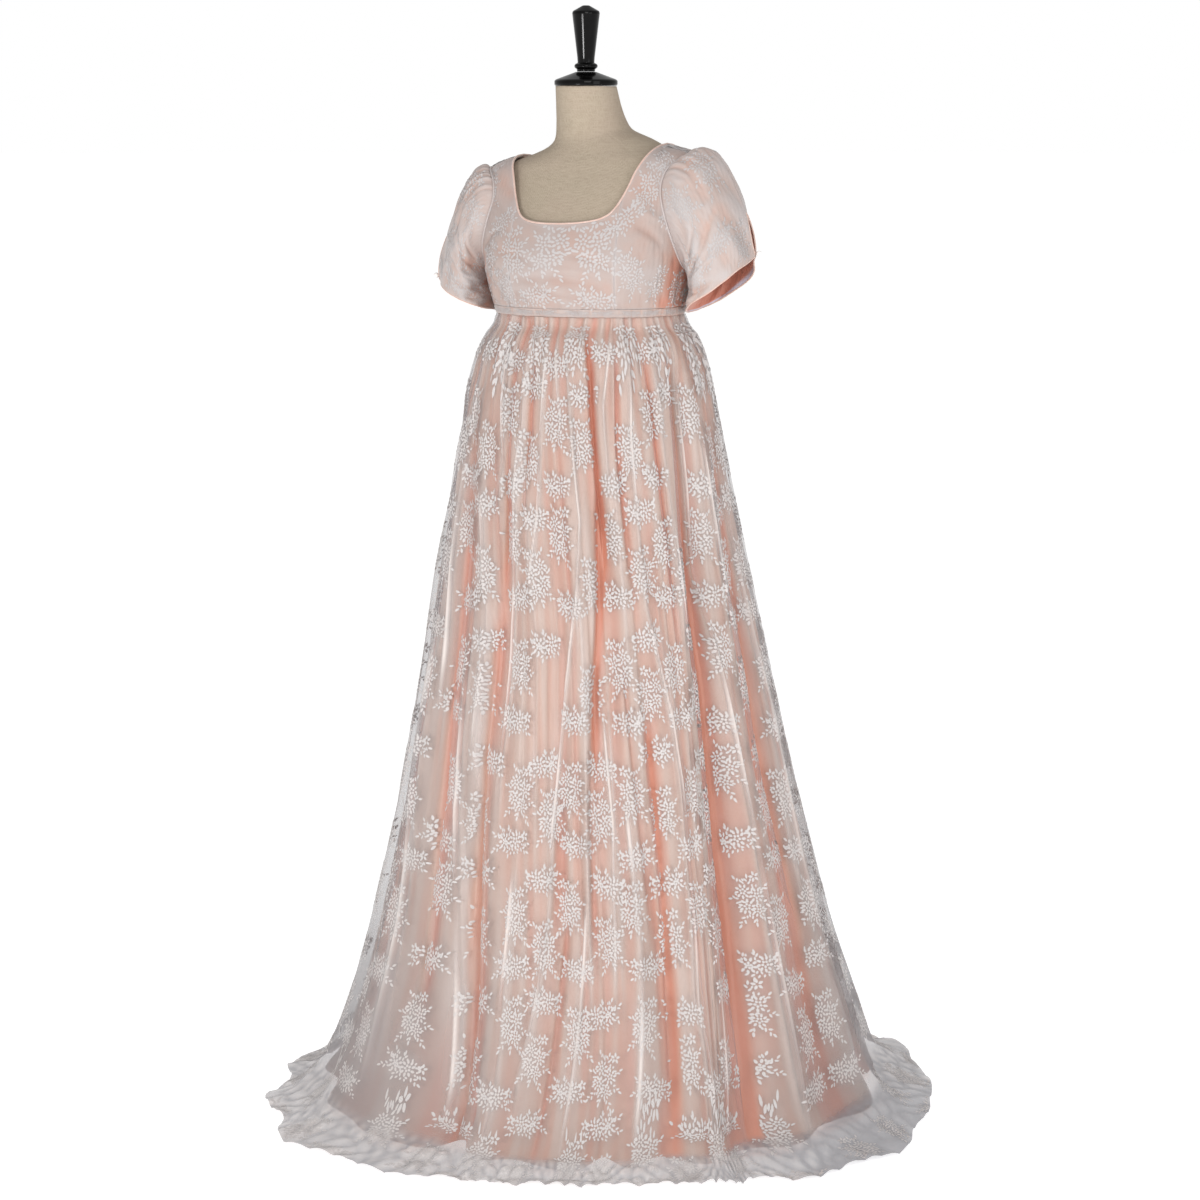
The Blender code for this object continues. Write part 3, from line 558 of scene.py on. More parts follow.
def walled_sheet(name, outer, inner, lining, **values):
    """Laced satin with a wall: the lining is on its inner face. Its edges are closed."""
    rows, columns = outer.shape[:2]
    layer = rows * columns
    points = np.concatenate([outer.reshape(-1, 3), inner.reshape(-1, 3)])
    outward = np.concatenate([(outer - inner).reshape(-1, 3)] * 2)
    plain = grid_faces(rows, columns)
    front = facing_out(points, plain, outward)
    back = front[:, ::-1] + layer
    ring = rim_of(np.arange(layer).reshape(rows, columns))
    after = np.roll(ring, -1)
    edge = np.stack([after, ring, ring + layer, after + layer], 1)
    if (front[0] != plain[0]).any():      # the faces were turned over, so the edge is too
        edge = edge[:, ::-1]
    uvs = np.tile(metric(outer).reshape(-1, 2), (2, 1))
    values = {key: np.tile(value.ravel(), 2) for key, value in values.items()}
    thing = made_object(name, points, np.concatenate([front, back, edge]), [LACED_SATIN, lining], uvs, values)
    indices = np.repeat([0, 1, 0], [len(front), len(back), len(edge)]).astype(np.int32)
    thing.data.polygons.foreach_set("material_index", indices)
    return thing


NEARLY_UP = (0.02, 0.05, 1.0)        # no path of a roll runs along this


def tube(name, path, radius, material, closed=False, sides=8):
    """A round roll of cloth along a path."""
    path = np.asarray(path, float)
    if closed:
        ahead, behind = np.roll(path, -1, 0), np.roll(path, 1, 0)
    else:
        ahead, behind = np.vstack([path[1:], path[-1:]]), np.vstack([path[:1], path[:-1]])
    along = unit(ahead - behind)
    side = unit(np.cross(along, np.broadcast_to(NEARLY_UP, along.shape)))
    up = np.cross(side, along)
    turns = 2 * pi * np.arange(sides) / sides
    ring = side[:, None] * np.cos(turns)[None, :, None] + up[:, None] * np.sin(turns)[None, :, None]
    points = (path[:, None] + radius * ring).reshape(-1, 3)
    length = np.concatenate([[0], np.cumsum(np.linalg.norm(np.diff(path, axis=0), axis=1))])
    uvs = np.stack([np.tile(turns * radius, len(path)), np.repeat(length, sides)], 1)
    faces = facing_out(points, ring_faces(len(path), sides, closed), ring.reshape(-1, 3))
    return made_object(name, points, faces, material, uvs)


def turned(name, profile, centre, material, sides=72):
    """A solid of revolution about a vertical axis, from (radius, height) pairs, bottom to top."""
    profile = np.array(profile, float)
    turns = 2 * pi * np.arange(sides) / sides
    ring = np.stack([np.cos(turns), np.sin(turns), np.zeros(sides)], 1)
    points = ring[None] * profile[:, :1, None] + np.array(centre)
    points[..., 2] += profile[:, 1:]
    uvs = np.stack(np.meshgrid(turns * profile[:, 0].max(), profile[:, 1]), -1).reshape(-1, 2)
    return made_object(name, points.reshape(-1, 3), ring_faces(len(profile), sides), material, uvs)


def rounded(profile, steps=5, radius=0.0012, on_axis=0.0001):
    """A turned profile with its corners rounded off, closed on the axis at both ends."""
    corners = [(0.0, profile[0][1])] + list(profile) + [(0.0, profile[-1][1])]
    corners = [Vector((*corner, 0.0)) for corner in corners]
    result = [corners[0]]
    for before, here, after in zip(corners, corners[1:], corners[2:]):
        reach = min(radius, 0.45 * (here - before).length, 0.45 * (after - here).length)
        start = here + (before - here).normalized() * reach
        end = here + (after - here).normalized() * reach
        for k in range(steps + 1):
            t = k / steps
            result.append(start * (1 - t) ** 2 + here * (2 * t * (1 - t)) + end * t ** 2)
    result.append(corners[-1])
    return [(max(point.x, on_axis), point.y) for point in result]


# ---------------------------------------------------------------- materials
HALF_WAVES = 6.3              # about the half waves a metre of a wave texture of scale 1
NET_CELLS = 620.0             # cells of the net a metre
SATIN_WEAVE = 1600
LINEN_WEAVE = 820


class Nodes:
    """A material's nodes, added one by one and linked by name."""

    def __init__(self, name, colour, roughness, **sockets):
        self.material = bpy.data.materials.new(name)
        self.material.use_nodes = True
        self.tree = self.material.node_tree
        self.shader = self.tree.nodes["Principled BSDF"]
        self.shader.inputs["Base Color"].default_value = (*colour, 1.0)
        self.shader.inputs["Roughness"].default_value = roughness
        for key, value in sockets.items():
            self.shader.inputs[key.replace("_", " ")].default_value = value

    def add(self, kind, links=None, **settings):
        """A node with its inputs set from numbers or linked from other nodes' outputs."""
        node = self.tree.nodes.new("ShaderNode" + kind)
        for key, value in settings.items():
            setattr(node, key, value)
        for key, value in (links or {}).items():
            if isinstance(value, bpy.types.NodeSocket):
                self.tree.links.new(value, node.inputs[key])
            else:
                node.inputs[key].default_value = value
        return node

    def to_shader(self, socket, key):
        self.tree.links.new(socket, self.shader.inputs[key])

    def place(self, scale=(1, 1, 1), source="Object"):
        """Coordinates in metres, on the object or along the cloth, stretched by scale."""
        where = self.add("TexCoord")
        return self.add("Mapping", {"Vector": where.outputs[source], "Scale": scale}).outputs[0]

    def noise(self, scale, detail=3.0, roughness=0.55, stretch=(1, 1, 1)):
        links = {"Vector": self.place(stretch), "Scale": scale, "Detail": detail, "Roughness": roughness}
        return self.add("TexNoise", links).outputs["Fac"]

    def attribute(self, name):
        return self.add("Attribute", attribute_name=name).outputs["Fac"]

    def ramp(self, factor, *stops):
        """Colours by a factor: each stop is a position and a colour."""
        node = self.add("ValToRGB", {"Fac": factor})
        elements = node.color_ramp.elements
        while len(elements) < len(stops):
            elements.new(0.5)
        for element, (position, colour) in zip(elements, stops):
            element.position = position
            element.color = (*colour, 1.0)
        return node.outputs["Color"]

    def mixed(self, factor, first, second):
        """Two colours mixed: the sockets of a colour Mix node are 0, 6 and 7, and its result is 2."""
        node = self.add("Mix", data_type="RGBA")
        for index, value in ((0, factor), (6, first), (7, second)):
            if isinstance(value, bpy.types.NodeSocket):
                self.tree.links.new(value, node.inputs[index])
            elif index == 0:
                node.inputs[index].default_value = value
            else:
                node.inputs[index].default_value = (*value, 1.0)
        return node.outputs[2]

    def maths(self, operation, first, second):
        return self.add("Math", {0: first, 1: second}, operation=operation).outputs[0]

    def spread(self, value, low, high, to_low, to_high):
        links = {"Value": value, "From Min": low, "From Max": high, "To Min": to_low, "To Max": to_high}
        return self.add("MapRange", links).outputs[0]

    def waves(self, scale, distortion, direction):
        links = {"Vector": self.place(source="UV"), "Scale": scale, "Distortion": distortion, "Detail": 1.0}
        return self.add("TexWave", links, bands_direction=direction).outputs["Fac"]

    def weave(self, half_waves):
        """Warp and weft along the cloth, 0 between the threads; half_waves: threads and gaps a metre."""
        scale = half_waves / HALF_WAVES
        return self.maths("MAXIMUM", self.waves(scale, 0.6, "X"), self.waves(scale, 0.6, "Y"))

    def net_cells(self, feature):
        """Distances in the small cells of a net, along the cloth."""
        links = {"Vector": self.place(source="UV"), "Scale": NET_CELLS}
        return self.add("TexVoronoi", links, feature=feature, voronoi_dimensions="2D").outputs["Distance"]

    def bump(self, height, strength, distance):
        node = self.add("Bump", {"Height": height, "Strength": strength, "Distance": distance})
        self.to_shader(node.outputs[0], "Normal")


# The satin's colours, from the painted highlight on the ridges to the painted shade deep in the folds
SATIN_PAINTED_HIGHLIGHT = (0.63, 0.49, 0.425)
PALE_PEACH = (0.58, 0.41, 0.335)
MID_PEACH = (0.585, 0.345, 0.26)
CORAL = (0.60, 0.30, 0.215)
CORAL_PAINTED_SHADE = (0.60, 0.24, 0.155)
NET_WHITE = (0.78, 0.72, 0.69)
NET_GREY = (0.29, 0.285, 0.305)
# Satin with the net worked on it: its colours from closely laced to bare and into painted coral shade, its
# threads and its painted shade
LACED_STOPS = ((0.0, (0.46, 0.405, 0.39)), (0.30, (0.445, 0.35, 0.315)), (0.60, (0.49, 0.315, 0.255)),
               (1.0, CORAL_PAINTED_SHADE))
LACED_THREAD = (0.52, 0.49, 0.49)
LACED_SHADE = (0.10, 0.07, 0.065)
FLOOR_GLOW = 0.50             # light that the floor gives off itself
AMBIENT = 0.58                # strength of the white studio light from all round


def satin_material():
    """Coral satin: a painted highlight along the tops of the folds, painted shade deep where it turns in."""
    made = Nodes("satin_cloth", MID_PEACH, 0.36, Sheen_Weight=0.2, Sheen_Roughness=0.4,
                 Specular_IOR_Level=0.6)
    streaks = made.noise(9.0, 2.0, 0.5, stretch=(1.0, 1.0, 0.12))
    fold = made.maths("ADD", made.attribute("fold"), made.spread(streaks, 0.3, 0.7, -0.10, 0.10))
    stops = enumerate((SATIN_PAINTED_HIGHLIGHT, PALE_PEACH, MID_PEACH, CORAL, CORAL_PAINTED_SHADE))
    made.to_shader(made.ramp(fold, *((k / 4, colour) for k, colour in stops)), "Base Color")
    made.to_shader(made.spread(streaks, 0.3, 0.7, 0.30, 0.42), "Roughness")
    made.bump(made.weave(SATIN_WEAVE), 0.25, 0.0003)
    return made.material


def net_material():
    """Fine white net; its attributes say how close and how bright it is, layer over layer; the brightness
    holds painted highlight and shadow.
    """
    made = Nodes("net_cloth", NET_WHITE, 0.65, Specular_IOR_Level=0.35)
    threads = made.spread(made.net_cells("F1"), 0.25, 0.60, -0.03, 0.03)
    bright = made.maths("ADD", made.attribute("bright"), threads)
    made.to_shader(made.ramp(bright, (0.0, NET_GREY), (1.0, NET_WHITE)), "Base Color")
    made.to_shader(made.attribute("dense"), "Alpha")
    return made.material


def thread_material(name, between, top):
    """Pale embroidery thread, ribbed across each petal and leaf."""
    made = Nodes(name, top, 0.55, Sheen_Weight=0.1, Specular_IOR_Level=0.35)
    ribs = made.waves(260.0, 1.5, "Y")
    made.to_shader(made.ramp(ribs, (0.0, between), (0.6, top)), "Base Color")
    made.bump(ribs, 0.4, 0.0003)
    return made.material


def lace_over_satin_material():
    """Satin under the net worked with it; coral says where it shows through, and both coral and shaded paint
    shade where it turns in.
    """
    made = Nodes("lace_over_satin_cloth", (0.62, 0.50, 0.46), 0.55, Sheen_Weight=0.2, Sheen_Roughness=0.4,
                 Specular_IOR_Level=0.35)
    soft = made.noise(16.0, 3.0)
    fine = made.noise(90.0, 3.0, 0.65)
    # A soft mottle: random peach tints, with paler patches as painted highlights
    factor = made.maths("ADD", made.attribute("coral"), made.spread(soft, 0.3, 0.7, -0.20, 0.24))
    threads = made.spread(made.net_cells("DISTANCE_TO_EDGE"), 0.02, 0.16, 0.30, 0.04)
    laced = made.mixed(threads, made.ramp(factor, *LACED_STOPS), LACED_THREAD)
    made.to_shader(made.mixed(made.attribute("shaded"), laced, LACED_SHADE), "Base Color")
    made.to_shader(made.spread(fine, 0.3, 0.7, 0.45, 0.62), "Roughness")
    made.bump(made.maths("ADD", fine, threads), 0.3, 0.0006)
    return made.material


def coral_lining_material():
    """The wrong side of the satin, with a pale edge of lace along the hem where the attribute says."""
    made = Nodes("coral_inner_face", (0.70, 0.28, 0.19), 0.5, Sheen_Weight=0.2, Specular_IOR_Level=0.4)
    soft = made.spread(made.noise(14.0, 3.0), 0.3, 0.7, 0.0, 1.0)
    coral = made.ramp(soft, (0.0, (0.50, 0.17, 0.11)), (1.0, (0.58, 0.25, 0.18)))
    made.to_shader(made.mixed(made.attribute("edge_lace"), coral, (0.56, 0.53, 0.62)), "Base Color")
    made.bump(made.weave(SATIN_WEAVE), 0.25, 0.0003)
    return made.material


def grained(name, colour, roughness, grain, *stops, bump=None, rough=None, **sockets):
    """A plain material whose colours, bump and roughness follow one grain: scale, detail, roughness."""
    made = Nodes(name, colour, roughness, **sockets)
    field = made.noise(*grain)
    made.to_shader(made.ramp(field, *stops), "Base Color")
    if rough:
        made.to_shader(made.spread(field, *rough), "Roughness")
    if bump:
        made.bump(field, *bump)
    return made


def piping_material():
    return grained("satin_piping", (0.80, 0.58, 0.49), 0.38, (160.0, 3.0), (0.3, (0.56, 0.37, 0.30)),
                   (0.7, (0.64, 0.48, 0.42)), bump=(0.3, 0.0004), Sheen_Weight=0.3).material


def linen_material():
    """Natural linen, glued smooth over the form: uneven threads both ways, with slubs."""
    made = Nodes("linen_cover", (0.40, 0.335, 0.255), 0.85, Specular_IOR_Level=0.2)
    weave = made.weave(LINEN_WEAVE)
    upright = made.noise(620.0, 2.0, 0.6, stretch=(1.0, 1.0, 0.12))
    level = made.noise(620.0, 2.0, 0.6, stretch=(0.12, 0.12, 1.0))
    slubs = made.maths("MAXIMUM", upright, level)
    woven = made.spread(weave, 0.0, 1.0, 0.45, 1.0)
    threads = made.maths("MULTIPLY", woven, made.spread(slubs, 0.40, 0.72, 0.35, 1.25))
    base = made.ramp(threads, (0.10, (0.31, 0.255, 0.19)), (0.85, (0.405, 0.34, 0.262)))
    stains = made.spread(made.noise(7.0, 3.0), 0.40, 0.75, 0.0, 0.40)
    made.to_shader(made.mixed(stains, base, (0.40, 0.30, 0.25)), "Base Color")
    made.bump(made.maths("ADD", weave, slubs), 0.5, 0.0006)
    return made.material


def lacquer_material():
    made = grained("black_lacquer_wood", (0.002, 0.002, 0.002), 0.10, (60.0, 5.0, 0.7),
                   (0.3, (0.001, 0.001, 0.001)), (0.75, (0.004, 0.0035, 0.0035)),
                   rough=(0.35, 0.7, 0.10, 0.14), Specular_IOR_Level=0.15)
    made.bump(made.noise(35.0, 2.0, stretch=(1.0, 1.0, 0.15)), 0.02, 0.0003)
    return made.material


def pearl_material():
    return grained("pearl_button", (0.86, 0.83, 0.82), 0.22, (420.0, 2.0), (0.3, (0.84, 0.78, 0.80)),
                   (0.7, (0.90, 0.89, 0.84)), bump=(0.1, 0.0002), Coat_Weight=0.7, Coat_Roughness=0.1,
                   Sheen_Weight=0.3).material


def stand_material():
    return grained("painted_steel", (0.03, 0.03, 0.032), 0.42, (240.0, 5.0, 0.7),
                   (0.3, (0.022, 0.022, 0.024)), (0.75, (0.05, 0.05, 0.05)), bump=(0.3, 0.0003),
                   rough=(0.3, 0.7, 0.35, 0.55), Metallic=0.8).material


def floor_material():
    """Pale studio paper, lit a little from itself so that it runs out into the white behind."""
    made = grained("pale_floor", (0.95, 0.95, 0.95), 0.9, (3.0, 2.0), (0.3, (0.94, 0.94, 0.94)),
                   (0.7, (0.955, 0.955, 0.955)), Specular_IOR_Level=0.0, Emission_Strength=FLOOR_GLOW)
    made.shader.inputs["Emission Color"].default_value = (1.0, 1.0, 1.0, 1.0)
    return made.material


SATIN = satin_material()
NET = net_material()
THREAD = thread_material("embroidery_thread", (0.46, 0.43, 0.42), (0.61, 0.575, 0.565))
SOFT_THREAD = thread_material("soft_embroidery_thread", (0.43, 0.40, 0.396), (0.51, 0.477, 0.472))
LACED_SATIN = lace_over_satin_material()
LINING = coral_lining_material()
PIPING = piping_material()
LINEN = linen_material()
LACQUER = lacquer_material()
PEARL = pearl_material()
STEEL = stand_material()


# ---------------------------------------------------------------- the body and the form
def body_skin(angle, z):
    width, front, back, middle = np.moveaxis(smooth(BODY, z), -1, 0)
    across = signed_power(np.sin(np.radians(angle)), 2 / BODY_SQUARENESS)
    ahead = signed_power(np.cos(np.radians(angle)), 2 / BODY_SQUARENESS)
    tilt = smooth(TILT, z)[..., 0]
    x = width * across
    return np.stack([x, middle - np.where(ahead > 0, front, back) * ahead, z + tilt * x], -1)


NORMAL_TURN = 2.0            # a normal is taken between points this many degrees and metres away
NORMAL_RISE = 0.004


def body_surface(angle, z, off):
    """Points on the body, moved out along its normal by off."""
    angle, z, off = np.broadcast_arrays(angle, z, off)
    round_body = body_skin(angle + NORMAL_TURN, z) - body_skin(angle - NORMAL_TURN, z)
    up_body = (body_skin(angle, np.minimum(z + NORMAL_RISE, NECK_TOP_Z))
               - body_skin(angle, np.maximum(z - NORMAL_RISE, FORM_BOTTOM_Z)))
    return body_skin(angle, z) + unit(np.cross(round_body, up_body)) * off[..., None]


def angle_from_x(x, z, front=True):
    """The angle where the body's half width reaches x at this height."""
    width = smooth(BODY, z)[..., 0]
    share = np.minimum(np.abs(x) / width, 1.0) ** (BODY_SQUARENESS / 2)
    angle = 90 - np.degrees(np.arccos(share))
    angle = angle if front else 180 - angle
    return np.where(np.asarray(x) >= 0, angle, -angle)


def angle_from_y(y, z):
    """The angle on the wearer's left where the body's side reaches y at this height."""
    _, front, back, middle = np.moveaxis(smooth(BODY, z), -1, 0)
    ahead = middle - y
    share = np.minimum(np.abs(ahead) / np.where(ahead > 0, front, back), 1.0) ** (BODY_SQUARENESS / 2)
    return np.degrees(np.arccos(share * np.where(ahead > 0, 1, -1)))


FORM_SEAMS = (0, 180, -180, 38, -38, 142, -142, 90, -90)
FORM_SEAM_WIDTH = 0.0011
FORM_SEAM_DEPTH = 0.0005
FORM_RADIUS = 0.11           # turns degrees round the form into metres, for its seams
FORM_MIDDLE = np.array((0.0, 0.0, 1.15))


def make_form():
    """The dress form: a smooth torso with faint seams down its middles and its princess lines."""
    heights = np.concatenate([np.linspace(FORM_BOTTOM_Z, 1.36, 50), np.linspace(1.362, NECK_TOP_Z, 34)])
    angle, z = np.meshgrid(np.linspace(-180, 180, 181), heights)
    seam = np.zeros_like(angle)
    for at in FORM_SEAMS:
        away = wrapped(angle - at) * np.pi / 180 * FORM_RADIUS
        seam = np.maximum(seam, hump(away, FORM_SEAM_WIDTH))
    grid = body_surface(angle, z, -FORM_INSET - FORM_SEAM_DEPTH * seam * (1 - ease(z, 1.40, 1.43)))
    base, lid = ([middle + (edge - middle) * share for share in (0.002, 0.5, 0.97)]
                  for edge, middle in zip(grid[[0, -1]], grid[[0, -1]].mean(axis=1)))
    whole = np.concatenate([np.array(base), grid, np.array(lid[::-1])])
    worn(open_sheet("dress_form", whole, whole - FORM_MIDDLE, LINEN), "form_torso")


def make_cap():
    for name, node, profile in (("cap", "neck_cap", CAP_PROFILE), ("handle", "cap_handle", HANDLE_PROFILE)):
        worn(turned(name, rounded(profile), (0, NECK_Y, NECK_TOP_Z), LACQUER), node)


# ---------------------------------------------------------------- the bodice
SIDES = (("left", 1), ("right", -1))


def armhole(share):
    """Angle and height on the wearer's left armhole: 0 at the shoulder, 0.25 in front, 0.5 underarm."""
    turn = 2 * pi * np.asarray(share)
    y = ARMHOLE_CENTRE[0] - ARMHOLE_RADII[0] * np.sin(turn)
    z = ARMHOLE_CENTRE[1] + ARMHOLE_RADII[1] * np.cos(turn)
    return np.stack([angle_from_y(y, z), z], -1)


def straight(start, end, steps):
    share = np.linspace(0, 1, steps + 1)[:, None]
    return np.asarray(start) * (1 - share) + np.asarray(end) * share


def front_neckline(shares):
    """(angle, height) points of the front neckline: share 0 in the middle, -1 and 1 at the shoulders."""
    x, z = np.moveaxis(smooth(NECKLINE, np.abs(shares)), -1, 0)
    angle = np.where(np.abs(shares) == 1.0, 90.0, np.abs(angle_from_x(x, z)))
    return np.stack([angle * np.where(shares < 0, -1, 1), z], -1)


def back_neckline(steps):
    """The back neckline from the centre back to the shoulder seam, on the wearer's left."""
    _, half_width, top_z = NECKLINE[-1]
    turn = np.linspace(0, pi / 2, steps + 1)
    z = BACK_NECKLINE_Z + (top_z - BACK_NECKLINE_Z) * (1 - np.cos(turn))
    points = np.stack([angle_from_x(half_width * np.sin(turn), z, front=False), z], -1)
    points[-1] = (90.0, top_z)
    return points


def coons(bottom, top, left, right):
    """(angle, height) points filling four edges; left and right run bottom to top."""
    s = np.linspace(0, 1, len(left))[:, None, None]
    t = np.linspace(0, 1, len(bottom))[None, :, None]
    return ((1 - s) * bottom[None] + s * top[None] + (1 - t) * left[:, None] + t * right[:, None]
            - ((1 - s) * (1 - t) * bottom[0] + (1 - s) * t * bottom[-1]
               + s * (1 - t) * top[0] + s * t * top[-1]))


def shoulder_ease(z):
    """The room over the shoulders; at its neck end each strap lies down on the form."""
    return SHOULDER_EASE * ease(z, 1.32, 1.36) - NECK_HUG * ease(z, 1.364, 1.384)


CREASE_RADIUS = 0.145        # turns degrees round the body into metres, for the creases


def bodice_relief(angle, z):
    """How far the bodice's outer face stands off its plain shape: creases, puckers and a fine crinkle."""
    across = wrapped(angle) * pi / 180 * CREASE_RADIUS
    rows = [(start * pi / 180 * CREASE_RADIUS, low, end * pi / 180 * CREASE_RADIUS, *rest)
            for start, low, end, *rest in BODICE_CREASES]
    gathered = 1 - ease(z, BAND_TOP_Z, BAND_TOP_Z + 0.035)
    side = ease(np.abs(wrapped(angle)), 30, 50)
    crinkle = uneven(across, z, *BODICE_CRINKLE) * (0.3 + 0.7 * side)
    tucks = uneven(across, z, *BODICE_TUCKS) * gathered
    soft = uneven(across, z, *BODICE_SOFTNESS)
    return -BODICE_CREASING * creased(across, z, rows) + crinkle + tucks + soft


PANEL_FINENESS = 4           # grid steps for each step counted along a panel's edge


def panel_edges():
    """The bodice pieces as (angle, height) grids: the whole front, and the left half's side and back."""
    waist_z = BAND_TOP_Z + SEAM_GAP
    corner = front_neckline(np.array([NECKLINE_AT_SEAM]))[0]
    princess = straight((PRINCESS_HALF_ANGLE, waist_z), corner, 8 * PANEL_FINENESS)
    waist = straight((-PRINCESS_HALF_ANGLE, waist_z), princess[0], 60)
    dip = front_neckline(np.linspace(-NECKLINE_AT_SEAM, NECKLINE_AT_SEAM, 61))
    princess_fine = straight(princess[0], princess[-1], 15 * PANEL_FINENESS)
    front = coons(waist, dip, princess_fine * (-1, 1), princess_fine)

    side_seam = straight((90.0, waist_z), armhole(0.5), 3 * PANEL_FINENESS)
    hole_steps = 12 * PANEL_FINENESS
    round_hole = 0.5 * np.arange(1, hole_steps + 1) / hole_steps
    front_edge = np.concatenate([side_seam, armhole(0.5 - round_hole)])
    back_edge = np.concatenate([side_seam, armhole(0.5 + round_hole)])
    neckline = front_neckline(np.linspace(NECKLINE_AT_SEAM, 1.0, 7 * PANEL_FINENESS + 1))
    columns = 40
    shoulder = straight(neckline[-1], front_edge[-1], columns)
    side_waist = straight(princess[0], side_seam[0], columns)
    side_front = coons(side_waist, shoulder, np.concatenate([princess, neckline[1:]]), front_edge)

    centre_back = straight((180.0, waist_z), (180.0, BACK_NECKLINE_Z), 15 * PANEL_FINENESS)
    top = np.concatenate([back_neckline(36), shoulder[1:]])
    back_waist = straight(centre_back[0], side_seam[0], 36 + columns)
    return front, side_front, coons(back_waist, top, centre_back, back_edge)


def edge_fall(grid, reach=0.0022):
    """1 on the four edges of a grid, falling away over the reach in metres."""
    across = metric(grid)[..., 0]
    down = metric(grid)[..., 1]
    away = np.minimum(np.minimum(across, across[:, -1:] - across), np.minimum(down, down[-1:] - down))
    return hump(away, reach)


# Where the bodice is shaded by the sleeve: it starts, ends (degrees from the front), and fades (height)
NEAR_SLEEVE = ((52, 72), (96, 125), (1.22, 1.30))
DEEPEST_CREASE = 0.004       # creases of the bodice are painted in shade down to this depth
SEAM_FLATNESS = 0.6          # share of the creases that a seam takes away
# Flat cuts of the bodice pieces: width, length, area of the cut as a share of the rectangle
BODICE_CUTS = {
    "front": (0.190, 0.150, 0.85),
    "side_front": (0.215, 0.250, 0.46),
    "back": (0.225, 0.255, 0.70),
}


def make_bodice():
    """The five panels; returns each with its (angle, height) grid and its side, for the embroidery."""
    front, side_front, back = panel_edges()
    panels = [("bodice_front", front, 1, BODICE_CUTS["front"])]
    for word, side in SIDES:
        panels.append(("bodice_side_front_" + word, side_front, side, BODICE_CUTS["side_front"]))
        panels.append(("bodice_back_" + word, back, side, BODICE_CUTS["back"]))
    for name, points, side, cut in panels:
        angle, z = points[..., 0] * side, points[..., 1]
        lift = BODICE_EASE + shoulder_ease(z)
        relief_there = bodice_relief(angle, z)
        seam = edge_fall(body_surface(angle, z, lift))
        away = np.abs(wrapped(angle))
        starts, ends, fades = NEAR_SLEEVE
        # Painted light and shade: coral and shade deepen in the creases and where the sleeve shades the
        # bodice, and are lighter along the seams
        painted_sleeve_shade = ease(away, *starts) * (1 - ease(away, *ends)) * (1 - ease(z, *fades))
        painted_crease_shade = np.clip(-relief_there, 0, DEEPEST_CREASE)
        coral, shaded = (weighed(weights, seam=seam, sleeve=painted_sleeve_shade, fold=painted_crease_shade)
                         for weights in (BODICE_CORAL_AND_PAINTED_LIGHT, BODICE_SHADE))
        outer = body_surface(angle, z, lift + BODICE_WALL + relief_there * (1 - SEAM_FLATNESS * seam))
        inner = body_surface(angle, z, lift + np.minimum(relief_there, 0))
        outer[0, :, 2] = z[0]
        inner[0, :, 2] = z[0]
        piece = walled_sheet(name + "_cloth", outer, inner, PIPING, coral=coral, shaded=shaded)
        worn(piece, name)
    return panels


PIPING_RADIUS = 0.0015
PIPING_OUT = 0.62            # the piping lies this share of the wall out from the inner face
PIPING_RISE = 0.0007         # and this much above the panels' edge
ARMHOLE_ROLL = 0.0016
ARMHOLE_ROLL_OUT = 0.0006    # from the bodice's outer face


def make_neckline():
    """A narrow satin piping round the neckline, and the seam allowances that show round each armhole."""
    neck = front_neckline(np.linspace(0.0, 1.0, 91))
    left = np.concatenate([neck[:-1], back_neckline(60)[::-1]])
    angle, z = np.concatenate([left[:-1], (left * (-1, 1))[:0:-1]]).T
    line = body_surface(angle, z, BODICE_EASE + shoulder_ease(z) + BODICE_WALL * PIPING_OUT)
    line[:, 2] += PIPING_RISE
    worn(tube("neckline_piping", line, PIPING_RADIUS, PIPING, closed=True, sides=10))
    angle, z = armhole(np.arange(160) / 160).T
    for word, side in SIDES:
        line = body_surface(side * angle, z, BODICE_EASE + BODICE_WALL + ARMHOLE_ROLL_OUT + shoulder_ease(z))
        worn(tube("armhole_seam_" + word, line, ARMHOLE_ROLL, LACED_SATIN, closed=True))


BAND_BULGE = 0.0004
PUCKER_DEPTH = 0.0006        # the band is painted at its deepest coral shade this far in
BODICE_RADIUS = 0.140        # turns degrees round the body into metres of cloth


def make_waistband():
    for word, middle in (("front", 0), ("back", 180)):
        angle, z = np.meshgrid(middle + np.linspace(-90, 90, 241),
                               np.linspace(BAND_BOTTOM_Z + SEAM_GAP, BAND_TOP_Z, 11))
        across = wrapped(angle - 0.001) * pi / 180 * BODICE_RADIUS
        bulge = BAND_BULGE * np.sin(pi * (z - BAND_BOTTOM_Z) / (BAND_TOP_Z - BAND_BOTTOM_Z))
        pucker = sum(uneven(across, z, *row) for row in BAND_PUCKERS)
        outer = body_surface(angle, z, BAND_EASE + BAND_WALL + bulge + pucker - BAND_BULGE)
        inner = body_surface(angle, z, BAND_EASE + 0 * angle)
        outer[..., 2] = z
        inner[..., 2] = z
        coral = weighed(BAND_CORAL_AND_PAINTED_SHADE, pucker=np.clip(-pucker / PUCKER_DEPTH, 0, 1))
        piece = worn(walled_sheet("band_" + word, outer, inner, LINING, coral=coral),
                     "waistband_" + word)


